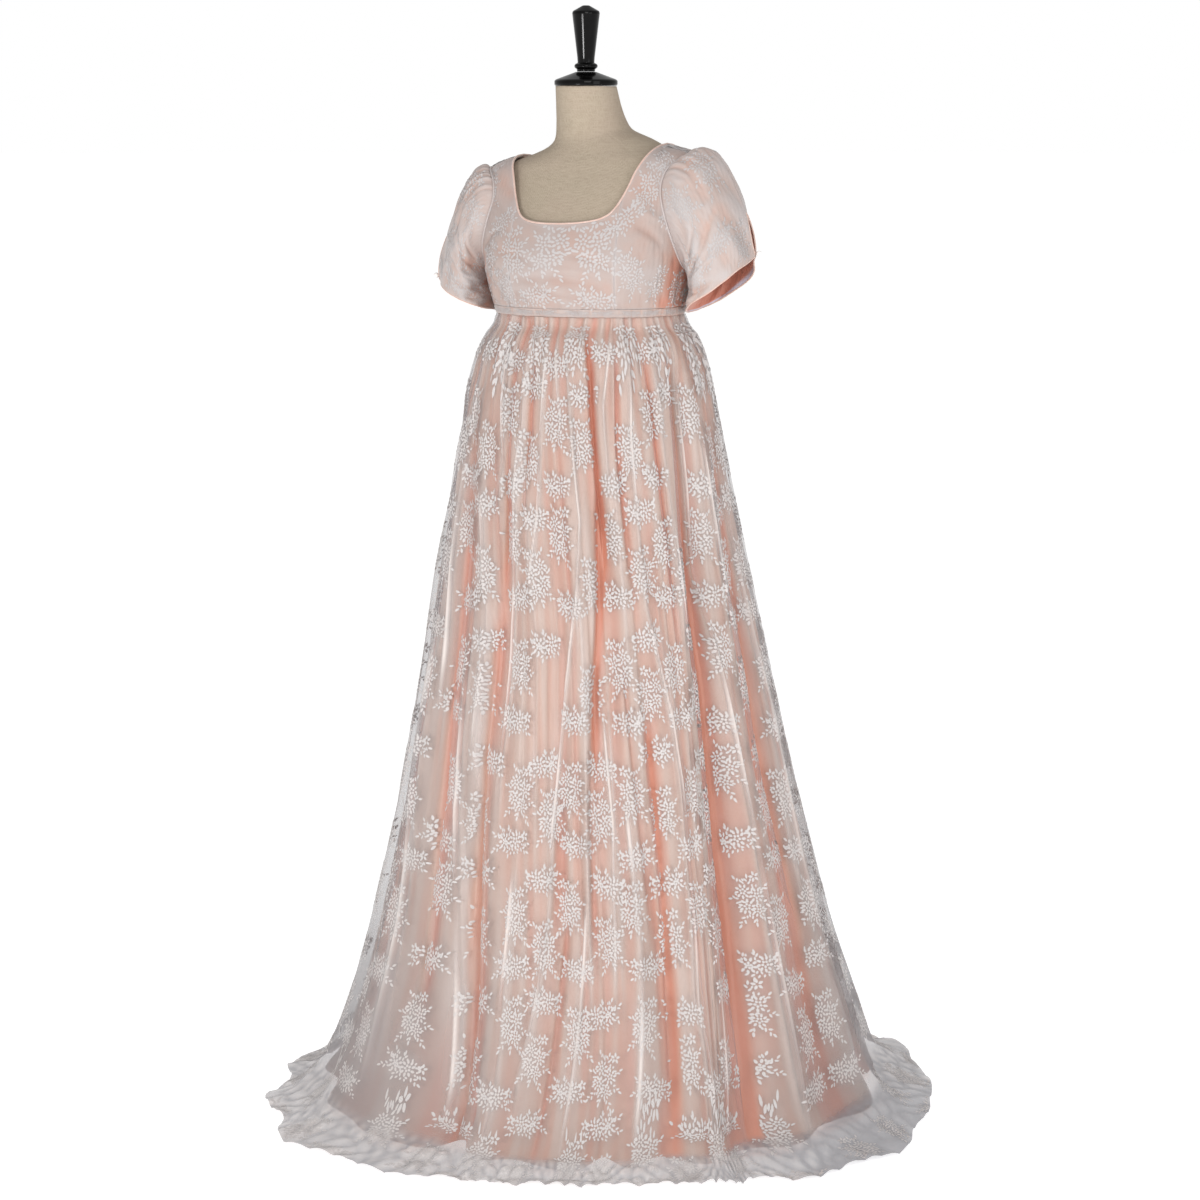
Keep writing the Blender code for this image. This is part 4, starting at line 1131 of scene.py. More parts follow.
# ---------------------------------------------------------------- the skirts
def drifted(angle, z):
    """Where the thread that leaves the band at this angle hangs at this height."""
    turns = [tuple(value - 360 for value in row) for row in DRIFT[-2:]]
    turns += list(DRIFT) + [tuple(value + 360 for value in row) for row in DRIFT[:2]]
    rows = [(top, middle - top, bottom - top) for top, middle, bottom in turns]
    to_middle, to_bottom = np.moveaxis(smooth(rows, wrapped(angle)), -1, 0)
    hanging = angle + to_middle * (1 - ease(z, DRIFT_MIDDLE_Z, BAND_BOTTOM_Z))
    down = 1 - np.maximum(z, 0.0) / DRIFT_MIDDLE_Z
    lower = angle + to_middle + (to_bottom - to_middle) * down
    return np.where(z >= DRIFT_MIDDLE_Z, hanging, lower)


def main_folds(angle, z):
    """How far the deepest folds carry the cloth in, for a thread and a height."""
    total = 0.0
    for middle, half_width, depth, start, end in FOLDS:
        away = wrapped(angle - middle) / half_width
        grown = 0.35 + 0.65 * (1 - ease(z, start - 0.45, start))
        kept = ease(z, end, end + 0.20) if end > 0 else 1.0
        total = total + depth * np.exp(-away * away) * grown * kept * ease(start - z, 0, 0.06)
    return total


def crease_profile(away, lower, upper):
    """A crease's cross-section, 1 in its middle, narrower on one side."""
    return hump(away, np.where(away < 0, lower, upper))


def hand_creases(angle, z):
    """How far the listed creases carry the cloth in, their ridge lines, and the haze round those."""
    total, lines, haze = 0.0, 0.0, 0.0
    for lower, upper, depth, *route in CREASES:
        heights, middles = zip(*route[::-1])
        away = wrapped(angle - np.interp(z, heights, middles))
        kept = ease(heights[-1] - z, -0.012, 0.05) * ease(z - heights[0], -0.07, 0.03)
        profile = crease_profile(away, lower, upper) * kept
        total = total + (RIDGE_RISE if depth < 0 else 1.0) * depth * profile
        if depth < 0:
            lines = np.maximum(lines, profile)
            haze = np.maximum(haze, crease_profile(away, HAZE_SPREAD * lower, HAZE_SPREAD * upper) * kept)
    return total, lines, haze


def seeded_folds(angle, z, seed=5):
    """The same for middling folds round the whole skirt, weaker where the listed creases lead."""
    draw = np.random.default_rng(seed)
    total, lines = 0.0, 0.0
    for k in range(SIDE_FOLDS):
        middle = -180 + 360 * (k + draw.uniform(-0.3, 0.3)) / SIDE_FOLDS
        wander = draw.uniform(-3.0, 3.0)
        ridge = k % 2 == 1
        lower, upper = draw.uniform(0.45, 0.75), draw.uniform(0.7, 1.0) if ridge else draw.uniform(1.4, 3.0)
        depth = draw.uniform(0.0030, 0.0055) * -RIDGE_RISE if ridge else draw.uniform(0.0035, 0.0080)
        top = draw.uniform(0.70, 1.13)
        end = draw.choice((-1.0, 0.10, 0.30, 0.50))
        low, high = VISIBLE_ANGLES
        strength = 0.55 if low < middle < high else 1.0
        spread = 1 + 0.3 * (FOLD_TOP_Z - z)
        away = wrapped(angle - middle - wander * (FOLD_TOP_Z - z)) / spread
        profile = crease_profile(away, lower, upper) * ease(top - z, -0.02, 0.15)
        if end > 0:
            profile = profile * ease(z, end - 0.05, end + 0.25)
        total = total + strength * depth * profile
        if ridge:
            lines = np.maximum(lines, 0.85 * sqrt(strength) * profile)
    return total, lines


def gathers(angle, z, seed=8):
    """The small tucks below the band, which run out at uneven heights."""
    draw = np.random.default_rng(seed)
    below = BAND_BOTTOM_Z - z
    total = 0.0
    for k in range(GATHERS):
        middle = -180 + 360 * (k + draw.uniform(-0.28, 0.28)) / GATHERS
        lean = draw.uniform(-9.0, 9.0)
        half_width = draw.uniform(1.1, 1.9)
        height = GATHER_HEIGHT * draw.uniform(0.3, 1.4)
        length = draw.uniform(0.05, 0.26)
        away = wrapped(angle - middle - lean * (FOLD_TOP_Z - z)) / half_width
        fade = (1 - ease(below, 0.2 * length, length)) * (0.55 + 0.45 * ease(below, 0, 0.012))
        total = total - height * np.exp(-away * away) * fade
    return total


def relief(angle, z):
    """All the creases finer than the main folds, in metres inward, with their ridge lines and haze."""
    by_hand, hand_lines, haze = hand_creases(angle, z)
    middling, middling_lines = seeded_folds(angle, z)
    ripple = sum(uneven_round(angle, z, *row) for row in SKIRT_RIPPLES)
    seam = SIDE_SEAM_DEPTH * sum(hump(wrapped(angle - at), 0.5) for at in (-90, 90))
    total = by_hand + middling + gathers(angle, z) + ripple + seam
    return total, np.maximum(hand_lines, middling_lines), haze


def skirt_surface(angle, z, inward, inset=0.0):
    """The skirt's outer face, carried in by the folds and by the inset; at its top it follows the band."""
    width, depth, middle = np.moveaxis(smooth(SKIRT, z), -1, 0)
    turn = np.radians(drifted(angle, z))
    carried = inward + inset
    x = (width - carried) * np.sin(turn)
    hanging = np.stack([x, middle - (depth - carried) * np.cos(turn), z], -1)
    at_band = body_surface(angle, z, BAND_EASE + BAND_WALL - carried)
    at_band[..., 2] = z
    share = ease(z, SKIRT_JOIN_Z, BAND_BOTTOM_Z)[..., None]
    return hanging * (1 - share) + at_band * share


def under_band(z):
    """At its top edge the cloth turns in under the band."""
    return UNDER_BAND * (1 - ease(BAND_BOTTOM_Z - z, 0.0005, 0.007))


def inward_at(angle, z):
    """How far all the folds carry the cloth in, with the ridge lines and haze; all weaken at the floor."""
    low = ease(z, 0.0, 0.012)
    fine, lines, haze = relief(angle, z)
    return main_folds(angle, z) * low + fine * (0.35 + 0.65 * low) + under_band(z), lines, haze


def local_relief(inward, reach=7.0):
    """Each point's depth below the cloth some degrees either side of it: troughs above 0, ridges below."""
    half = int(reach / SKIRT_STEP)
    padded = np.concatenate([inward[:, -half - 1:-1], inward, inward[:, 1:half + 1]], 1)
    sums = np.cumsum(np.concatenate([np.zeros((len(inward), 1)), padded], 1), 1)
    mean = (sums[:, 2 * half + 1:] - sums[:, :-2 * half - 1]) / (2 * half + 1)
    return inward - mean


SKIRT_ANGLES = np.linspace(-90, 270, 961)    # both halves, front then back
SKIRT_STEP = SKIRT_ANGLES[1] - SKIRT_ANGLES[0]
HALF_COLUMNS = 480
SKIRT_TOP_Z = 1.1582
SKIRT_MIDDLE = np.array((0.0, 0.02, 0.35))
LACE_HEIGHTS = np.concatenate([np.linspace(SKIRT_TOP_Z, 1.130, 9)[:-1], np.linspace(1.130, 0.045, 110)])
SATIN_HEIGHTS = np.concatenate([np.linspace(SKIRT_TOP_Z, 1.130, 8)[:-1], np.linspace(1.130, 0.030, 88)[:-1],
                                np.linspace(0.030, SATIN_HEM_Z, 3)])
SKIRT_EASE = 0.0006          # the cloth is carried this far in from the solid's outer face
FLOOR_STEPS = 24             # rows of the lace that lie on the floor
PUFF_HEIGHT = 0.0066
FLOOR_FOLD_HEIGHT = 0.0042
RUFFLE_HEIGHT = 0.0045
FRONT_MIDDLE = 26.0          # the cloth is fuller away from this angle, round the sides and the back; its closer grey net there also paints shade on the sides
FULL_AWAY = 78               # by about this many degrees from it
FLOOR_SHADOW_SIDE = (84, 26)        # the lace on the floor has a painted shadow, darkest at this angle; half width
HEM_WAVE = 0.004             # how far the satin's hem waves up and down
DEEP_FOLD = 0.030            # main folds this deep are painted at their deepest coral shade


def floor_end():
    """Where each thread ends on the floor, on an uneven edge."""
    end = wrapped(drifted(SKIRT_ANGLES, 0.0))
    reach = smooth(LACE_ON_FLOOR, end)[..., 0]
    for row in FLOOR_EDGE:
        reach = reach + uneven_round(SKIRT_ANGLES, 0.0, *row)
    turn = np.radians(end)
    return np.stack([reach * np.sin(turn), -reach * np.cos(turn), np.full_like(reach, LACE_FLOOR_Z)], -1)


def on_floor(spread, field):
    """An uneven field over the lace on the floor, from share spread of the way out."""
    length, *row = field
    return uneven_round(SKIRT_ANGLES[None], spread * length, *row)


def puffed(field):
    """An uneven field turned into soft puffs with sharp valleys between them, 0 to about 1."""
    return np.clip(np.abs(field), 0, 1.3) ** 0.7


def floor_lace(start, before):
    """The lace from its last hanging row, start, out over the floor; with its share out, folds and shine."""
    drop = start - before
    corner = start + drop * ((start[:, 2:] - 0.004) / np.maximum(-drop[:, 2:], 1e-5))
    corner[:, 2] = 0.003
    share = np.linspace(0, 1, FLOOR_STEPS + 1)[1:, None, None]
    low = start * (1 - share) ** 2 + corner * (2 * share * (1 - share)) + floor_end() * share ** 2
    spread = share[..., 0]
    puffs = puffed(on_floor(spread, FLOOR_PUFFS))
    folds = puffed(on_floor(spread, FLOOR_FOLDS))
    ruffle = puffed(on_floor(spread, FLOOR_RUFFLE))
    shine = on_floor(spread, FLOOR_SHINE)
    rise = ease(spread, 0.20, 0.6)
    height = rise * (PUFF_HEIGHT * puffs + FLOOR_FOLD_HEIGHT * folds) * (1 - 0.5 * spread)
    height = height + RUFFLE_HEIGHT * ruffle * ease(spread, 0.72, 1.0)
    low[..., 2] = np.maximum(low[..., 2], LACE_FLOOR_Z) + height
    return low, spread, folds, shine


def lace_grid():
    """Points of the net from the band out over the floor; how dense, bright (with painted highlight and
    shadow) and deep in a fold it is.
    """
    angle, z = np.meshgrid(SKIRT_ANGLES, LACE_HEIGHTS)
    inward, lines, haze = inward_at(angle, z)
    hanging = skirt_surface(angle, z, inward + SKIRT_EASE)
    low, spread, folds, shine = floor_lace(hanging[-1], hanging[-2])
    trough = ease(local_relief(inward), 0.002, 0.008)
    faded = np.clip(0.72 + uneven_round(angle, z, *RIDGE_FADING), 0.15, 1.0)
    lines = lines * faded
    fuller = 1 - np.exp(-(wrapped(angle - FRONT_MIDDLE) / FULL_AWAY) ** 4)
    low_down = 1 - ease(z, 0.05, 0.35)
    # Painted highlight: the net is brighter along the ridge lines and in the haze round them
    ridges = {"ridge": lines ** 2, "haze": haze * faded}
    dense = weighed(NET_CLOSENESS, **ridges, trough=trough, full=fuller, low=low_down,
                    full_low=fuller * low_down)
    bright = weighed(NET_TONE_AND_PAINTED_HIGHLIGHT, **ridges)
    flat = ease(spread - 0.26 * (1 - fuller[-1]), 0.0, 0.22)
    # Painted light on the lace on the floor: highlight on its folds and shine, painted shadow on its shaded
    # side
    side, side_width = FLOOR_SHADOW_SIDE
    floor_side_shadow = hump(wrapped(drifted(SKIRT_ANGLES, 0.0)) - side, side_width)
    low_dense = dense[-1] * (1 - flat) + weighed(FLOOR_CLOSENESS, fold=folds) * flat
    on_paper = weighed(FLOOR_LACE_TONE_AND_PAINTED_LIGHT, fold=folds, shine=shine, side=floor_side_shadow)
    low_bright = bright[-1] * (1 - flat) + on_paper * flat
    pairs = (hanging, low), (dense, low_dense), (bright, low_bright), (trough, trough[-1] * (1 - flat))
    return [np.concatenate(pair) for pair in pairs]


def satin_grid():
    """Points of the satin, and how deep its colour is: 0 painted highlight on ridges, 1 painted shade in
    troughs.
    """
    angle, z = np.meshgrid(SKIRT_ANGLES, SATIN_HEIGHTS)
    inward, lines, _ = inward_at(angle, z)
    lift = HEM_WAVE * (0.5 + uneven_round(SKIRT_ANGLES, 0.0, *HEM_LIFT))
    pull = 0.0
    for middle, half_width, height, pulled in HEM_FOLDS:
        profile = hump(wrapped(SKIRT_ANGLES - middle), half_width)
        lift = lift + height * profile
        pull = pull + pulled * profile
    pulled_in = inward + SKIRT_EASE + pull * (1 - ease(z, SATIN_HEM_Z, 0.11))
    grid = skirt_surface(angle, z, pulled_in, smooth(SATIN_INSET, z)[..., 0])
    grid[..., 2] += lift * (1 - ease(z, SATIN_HEM_Z, 0.14))
    # The colour paints light and shade: bands that include painted sheen, painted highlight on the ridge
    # lines, painted shade in the troughs and main folds
    bands = sum(weight * np.tanh(2.0 * uneven_round(angle, z, *field)) for weight, *field in SATIN_TONE_AND_SHEEN_BANDS)
    full_depth = 0.013 - 0.007 * ease(z, 1.06, BAND_BOTTOM_Z)
    fold = np.clip(local_relief(inward) / full_depth, -0.30, 0.55)
    deepest = ease(main_folds(angle, z) / DEEP_FOLD, 0.3, 1.0)
    rosy = hump(wrapped(angle) - ROSY_SIDE[0], ROSY_SIDE[1]) * (1 - ease(z, 0.55, 1.0))
    return grid, weighed(SATIN_TONE_AND_PAINTED_LIGHT, bands=bands, fold=fold, ridge=lines, deepest=deepest, rosy=rosy)


def halves(*grids):
    """The front and back half of each of some grids over the whole skirt: the word, then the halves."""
    yield ("front", *(grid[:, :HALF_COLUMNS + 1] for grid in grids))
    yield ("back", *(grid[:, HALF_COLUMNS:] for grid in grids))


def make_skirts():
    """Satin first, then the net over it."""
    for word, grid, satin_tone_and_painted_light in halves(*satin_grid()):
        piece = open_sheet("satin_underskirt_" + word, grid, grid - SKIRT_MIDDLE, SATIN, {"fold": satin_tone_and_painted_light})
        worn(piece, "satin_skirt_" + word)
    for word, grid, dense, bright, deep in halves(*lace_grid()):
        places = spray_places(word, grid)
        worked = veil(places, grid.shape[:2]) * (1 - deep)
        values = {"dense": dense + WORKED_CLOSENESS * worked, "bright": bright + WORKED_BRIGHTNESS * worked}
        piece = open_sheet("net_overskirt_" + word, grid, grid - SKIRT_MIDDLE, NET, values)
        worn(piece, "lace_skirt_" + word)
        embroider_skirt(word, grid, places, deep)


# ---------------------------------------------------------------- embroidery
# One petal or leaf, 1 long and 2 across: its rim and its middle, as along, across, height above the cloth
LEAF = np.array((
    (0.0, 0.0, 0.35), (0.28, 0.90, 0.5), (0.68, 0.86, 0.5), (1.0, 0.0, 0.35), (0.68, -0.86, 0.5),
    (0.28, -0.90, 0.5), (0.50, 0.0, 1.0),
))
LEAF_HEIGHT = 0.00075
LEAF_PLUMPNESS = 1.22
LEAF_SIZE = (0.009, 0.002)   # of its place along the thread's ribs
STEM_STEP = 0.0042           # from one leaf of a sprig to the next
SPRIG_LEAF = (0.0072, 0.0014)
SPRIG_END = (0.0082, 0.0015)
FILLING_ROOM = 0.0032        # small leaves between the others stay this far apart
# Rings of a daisy: petals, start, length and half width as shares of its radius, lean
DAISY_RINGS = ((9, 0.47, 0.58, 0.135, 0.25), (5, 0.12, 0.38, 0.130, -0.35))


def daisy(x, y, radius, turn):
    """A round flower of two rings of petals: x, y, turn, length, half width of each."""
    parts = []
    for count, start, length, half_width, lean in DAISY_RINGS:
        for k in range(count):
            t = turn + 2 * pi * k / count
            out = start * radius
            parts.append((x + out * cos(t), y + out * sin(t), t + lean, length * radius, half_width * radius))
    return parts


def star(x, y, radius, turn):
    """A small open flower of five petals."""
    turns = [turn + 2 * pi * k / 5 for k in range(5)]
    start, length, half_width = 0.15 * radius, 0.85 * radius, 0.20 * radius
    return [(x + start * cos(t), y + start * sin(t), t, length, half_width) for t in turns]


def sprig(x, y, turn, leaves):
    """Leaves by turns on the two sides of a stem, and one on its end."""
    leans = [0.75 if k % 2 else -0.75 for k in range(leaves)] + [0.0]
    sizes = [SPRIG_LEAF] * leaves + [SPRIG_END]
    return [(x + STEM_STEP * k * cos(turn), y + STEM_STEP * k * sin(turn), turn + lean, *size)
            for k, (lean, size) in enumerate(zip(leans, sizes))]


def filled(parts, half_width, half_height, count, seed):
    """The parts with small leaves between them, inside an ellipse."""
    draw = np.random.default_rng(seed)
    taken = [(x + 0.5 * r * cos(t), y + 0.5 * r * sin(t)) for x, y, t, r, _ in parts]
    added = []
    for _ in range(count * 40):
        if len(added) == count:
            break
        u, turn = sqrt(draw.uniform(0.02, 1)), draw.uniform(0, 2 * pi)
        x, y = half_width * u * cos(turn), half_height * u * sin(turn)
        if all((x - tx) ** 2 + (y - ty) ** 2 > FILLING_ROOM ** 2 for tx, ty in taken):
            lean = turn + draw.uniform(-0.7, 0.7)
            length = draw.uniform(0.0045, 0.0068)
            added.append((x - 0.5 * length * cos(lean), y - 0.5 * length * sin(lean), lean, length, 0.0013))
            taken.append((x, y))
    return parts + added


# Two kinds of spray. Daisies and stars: x, y, radius, turn. Sprigs: x, y, turn, leaves. Then small leaves
# that fill an ellipse: its half width and half height, their number, the seed.
SPRAY_PARTS = {
    "wide": (
        ((-0.0130, 0.0005, 0.0125, 0.3), (0.0095, 0.0010, 0.0125, 1.1)),
        ((0.0310, 0.0070, 0.0085, 0.4),),
        ((-0.0255, 0.0060, 2.60, 2), (-0.0250, -0.0060, 3.65, 3), (-0.0020, 0.0120, 1.70, 1),
         (0.0205, -0.0085, -0.45, 3), (0.0230, 0.0060, 0.60, 1), (-0.0060, -0.0120, -1.85, 1),
         (0.0310, -0.0020, -0.25, 1), (-0.0180, 0.0130, 2.10, 1)),
        (0.031, 0.0175, 24, 61),
    ),
    "tall": (
        ((-0.0080, 0.0150, 0.0115, 0.2), (0.0100, 0.0050, 0.0120, 0.9), (-0.0085, -0.0080, 0.0120, 0.5),
         (0.0070, -0.0180, 0.0105, 1.0)),
        ((0.0150, 0.0330, 0.0090, 0.4),),
        ((-0.0120, 0.0300, 1.90, 1), (0.0020, 0.0240, 1.40, 2), (-0.0205, 0.0060, 2.90, 1),
         (0.0215, 0.0130, 0.60, 1), (-0.0150, -0.0230, -2.30, 3), (0.0120, -0.0280, -0.95, 3),
         (0.0205, -0.0100, -0.35, 2), (-0.0020, -0.0290, -1.70, 1)),
        (0.022, 0.033, 26, 62),
    ),
}


def spray_corners(daisies, stars, sprigs, filling):
    """A spray's leaf corners as (leaves, 7, 3) offsets: across, up, height."""
    parts = []
    for shape, rows in ((daisy, daisies), (star, stars), (sprig, sprigs)):
        for row in rows:
            parts += shape(*row)
    x0, y0, turn, length, half_width = (column[:, None] for column in np.array(filled(parts, *filling)).T)
    along = LEAF[:, 0] * length
    across = LEAF[:, 1] * half_width * LEAF_PLUMPNESS
    x = x0 + along * np.cos(turn) - across * np.sin(turn)
    y = y0 + along * np.sin(turn) + across * np.cos(turn)
    return np.stack([x, y, np.broadcast_to(LEAF[:, 2] * LEAF_HEIGHT, x.shape)], -1)


SPRAYS = {kind: spray_corners(*parts) for kind, parts in SPRAY_PARTS.items()}


def placed_sprays(rows):
    """Offsets of many sprays: each row is kind, turn, mirrored, width scale, height scale."""
    result, owner = [], []
    for index, (kind, turn, mirrored, wide, high) in enumerate(rows):
        spray = SPRAYS[kind].copy()
        spray[..., 0] *= -1 if mirrored else 1
        x, y = spray[..., 0].copy(), spray[..., 1].copy()
        spray[..., 0] = (x * cos(turn) - y * sin(turn)) * wide
        spray[..., 1] = (x * sin(turn) + y * cos(turn)) * high
        result.append(spray)
        owner.append(np.full(len(spray), index))
    return np.concatenate(result), np.concatenate(owner)


def leaf_mesh(name, leaves, outward, thread):
    """One piece from (count, 7, 3) leaf corners, with the outward directions there."""
    rim = len(LEAF) - 1
    fan = np.array([(k, (k + 1) % rim, rim) for k in range(rim)])[None]
    faces = (np.arange(len(leaves))[:, None, None] * len(LEAF) + fan).reshape(-1, 3)
    points = leaves.reshape(-1, 3)
    a, b, c = (points[faces[:, k]] for k in (0, 1, 2))
    facing = np.einsum("ij,ij->i", np.cross(b - a, c - b), outward.reshape(-1, 3)[faces[:, 0]])
    faces = np.where((facing < 0)[:, None], faces[:, ::-1], faces)
    places = np.tile(LEAF[:, :2] * LEAF_SIZE, (len(leaves), 1))
    return worn(made_object(name, points, faces, thread, places))


def on_grid(grid, normals, row, column, height):
    """Points of a grid at fractional rows and columns, lifted along its normals."""
    i = np.clip(np.floor(row).astype(int), 0, grid.shape[0] - 2)
    j = np.clip(np.floor(column).astype(int), 0, grid.shape[1] - 2)
    s, t = (row - i)[..., None], (column - j)[..., None]

    def read(array):
        return ((array[i, j] * (1 - s) + array[i + 1, j] * s) * (1 - t)
                + (array[i, j + 1] * (1 - s) + array[i + 1, j + 1] * s) * t)

    direction = unit(read(normals))
    return read(grid) + direction * height[..., None], direction


def outward_normals(grid, middle):
    """A grid's normals, on the side away from middle."""
    normals = unit(np.cross(np.gradient(grid, axis=1), np.gradient(grid, axis=0)))
    return -normals if np.sum(normals * (grid - middle)) < 0 else normals


def grid_steps(grid):
    """How many metres a step across and a step down a grid is, at each of its points."""
    return [np.linalg.norm(np.gradient(grid, axis=axis), axis=-1) for axis in (1, 0)]


def leaf_places(leaves, centres, across, down):
    """Fractional rows and columns of leaf corners, each leaf at its own (row, column) centre on a grid."""
    row0, column0 = centres[:, 0][:, None], centres[:, 1][:, None]
    near = tuple(np.clip(at.astype(int), 0, count - 1) for at, count in zip((row0, column0), down.shape))
    return row0 - leaves[..., 1] / down[near], column0 + leaves[..., 0] / across[near]


def within(values, low, high):
    """Which leaves have all their corners between low and high."""
    return ((values > low) & (values < high)).all(axis=1)


SPRAY_COLUMNS = 30          # round the whole skirt
SPRAY_DROP = 0.0860         # from one row of sprays to the next
FIRST_SPRAY = 0.0330        # from the band to the middle of the first row
SPRAY_ROOM = 0.0780         # a spray is at its full width where columns are this far apart
NARROWEST_SPRAY = 0.74
WIDEST_SPRAY = 1.08
SHARE_OF_ROOM = 0.56        # leaves further out than this share of a column's room are left out
TOO_DEEP = 0.75             # leaves deeper in a fold than this are left out
SKIRT_MARGINS = (2.5, 1.2, 0.5)      # grid steps left plain at the top, at the floor edge and at the sides
# Half width and half height of the part of a spray that is worked all over
WORKED = {"wide": (0.030, 0.017), "tall": (0.021, 0.031)}


def without_folds(grid, half=24):
    """A grid of the skirt with its folds smoothed away, by a running mean this many columns to each side."""
    kernel = np.ones(2 * half + 1) / (2 * half + 1)
    padded = np.pad(grid, ((0, 0), (half, half), (0, 0)), mode="reflect", reflect_type="odd")
    return np.apply_along_axis(lambda row: np.convolve(row, kernel, "valid"), 1, padded)


def spray_places(word, grid):
    """Where sprays go on the net: rows of wide and tall ones by turns, and the cloth's metres a grid step."""
    across, down = grid_steps(without_folds(grid))
    length = np.cumsum(down.mean(axis=1))
    draw = np.random.default_rng(71 if word == "front" else 72)
    step = 360 / SPRAY_COLUMNS / SKIRT_STEP
    specs, centres, rooms = [], [], []
    for i in range(int((length[-1] - FIRST_SPRAY) / SPRAY_DROP + 1.0)):
        for j in range(SPRAY_COLUMNS // 2):
            kind = "wide" if (i + j) % 2 else "tall"
            column = (j + 0.5 + draw.uniform(-0.20, 0.20)) * step
            at_length = FIRST_SPRAY + (i + 0.45 * (j % 2) + draw.uniform(-0.15, 0.15)) * SPRAY_DROP
            row = float(np.interp(at_length, length, np.arange(len(length))))
            room = across[int(row), min(int(column), HALF_COLUMNS)] * step
            wide = float(np.clip(room / SPRAY_ROOM, NARROWEST_SPRAY, WIDEST_SPRAY))
            lean, mirrored, high = draw.uniform(-0.20, 0.20), draw.uniform() < 0.4, draw.uniform(0.94, 1.06)
            if draw.uniform() < ease(room, 0.020, 0.045) * 0.5 + 0.5:
                specs.append((kind, lean, mirrored, wide, high))
                centres.append((row, column))
                rooms.append(room)
    return specs, np.array(centres), np.array(rooms), across, down


def veil(places, shape):
    """How closely the net is worked at each grid point: 1 in the middle of a spray."""
    specs, centres, _, across, down = places
    rows, columns = np.arange(shape[0])[:, None], np.arange(shape[1])[None, :]
    total = np.zeros(shape)
    for (kind, _, _, wide, high), (row, column) in zip(specs, centres):
        near = min(int(row), shape[0] - 1), min(int(column), shape[1] - 1)
        half_width, half_height = WORKED[kind]
        x = (columns - column) * across[near] / (half_width * wide)
        y = (rows - row) * down[near] / (half_height * high)
        total = np.maximum(total, np.exp(-(x * x) ** 2 - (y * y) ** 2))
    return total


def embroider_skirt(word, grid, places, deep):
    """The sprays as raised stitches; what has no room, or lies deep in a fold, is left out."""
    specs, centres, rooms, across, down = places
    leaves, owner = placed_sprays(specs)
    row, column = leaf_places(leaves, centres[owner], across, down)
    top, edge, side = SKIRT_MARGINS
    inside = within(row, top, len(grid) - edge) & within(column, side, HALF_COLUMNS - side)
    inside &= np.abs(leaves[..., 0].mean(axis=1)) < SHARE_OF_ROOM * rooms[owner]
    middles = (np.clip(at.mean(axis=1), 0, last).astype(int)
               for at, last in ((row, len(grid) - 1), (column, HALF_COLUMNS)))
    inside &= deep[tuple(middles)] < TOO_DEEP
    normals = outward_normals(grid, SKIRT_MIDDLE)
    points, outward = on_grid(grid, normals, row[inside], column[inside], leaves[inside][..., 2])
    sprays = leaf_mesh("embroidery_skirt_" + word, points, outward, THREAD)


# Sprays of the bodice front: angle, height, kind, turn, mirrored, scale
FRONT_SPRAYS = (
    (-26, 1.245, "tall", 0.2, False, 0.95),
    (-4, 1.252, "tall", -0.3, True, 0.95),
    (17, 1.252, "tall", 0.4, False, 1.0),
    (-12, 1.190, "wide", 0.1, True, 0.80),
    (18, 1.186, "wide", -0.1, False, 0.85),
    (-36, 1.198, "tall", 0.2, True, 0.75),
    (-38, 1.288, "wide", 0.7, False, 0.80),
    (30, 1.288, "wide", 0.8, False, 0.85),
    (43, 1.330, "tall", -0.3, True, 0.80),
    (54, 1.362, "tall", 0.4, False, 0.80),
    (40, 1.222, "tall", 0.5, True, 0.80),
    (58, 1.206, "wide", 1.3, False, 0.70),
    (-54, 1.340, "tall", 0.2, True, 0.80),
    (-50, 1.236, "tall", -0.4, False, 0.80),
    (-66, 1.205, "tall", 0.3, False, 0.80),
    (60, 1.306, "wide", 1.0, True, 0.70),
    (76, 1.196, "tall", 0.1, False, 0.70),
    (-78, 1.378, "wide", 0.3, False, 0.70),
    (80, 1.384, "wide", -0.3, False, 0.70),
)


def back_sprays():
    """Sprays of the bodice back, in the same rows as the skirt's."""
    rows = []
    for i, z in enumerate((1.195, 1.262, 1.330)):
        for j in range(6):
            angle = float(wrapped(98 + 32.8 * (j + 0.5 * (i % 2))))
            rows.append((angle, z, "tall" if (i + j) % 2 else "wide", 0.3 * (-1) ** j, j % 2 == 0, 0.9))
    return tuple(rows)


def inside_outline(points, outline):
    """Which (x, y) points lie inside a closed outline."""
    x, y = points[..., 0], points[..., 1]
    inside = np.zeros(x.shape, bool)
    for (x0, y0), (x1, y1) in zip(outline, np.roll(outline, -1, axis=0)):
        crosses = (y0 > y) != (y1 > y)
        if y1 != y0:
            inside ^= crosses & (x < (x1 - x0) * (y - y0) / (y1 - y0) + x0)
    return inside


def sprays_at(rows):
    """Leaf corners of rows of two coordinates, kind, turn, mirrored, scale; and each leaf's coordinates."""
    leaves, owner = placed_sprays([(*spec, spec[-1]) for _, _, *spec in rows])
    return leaves, np.array([row[:2] for row in rows], float)[owner]


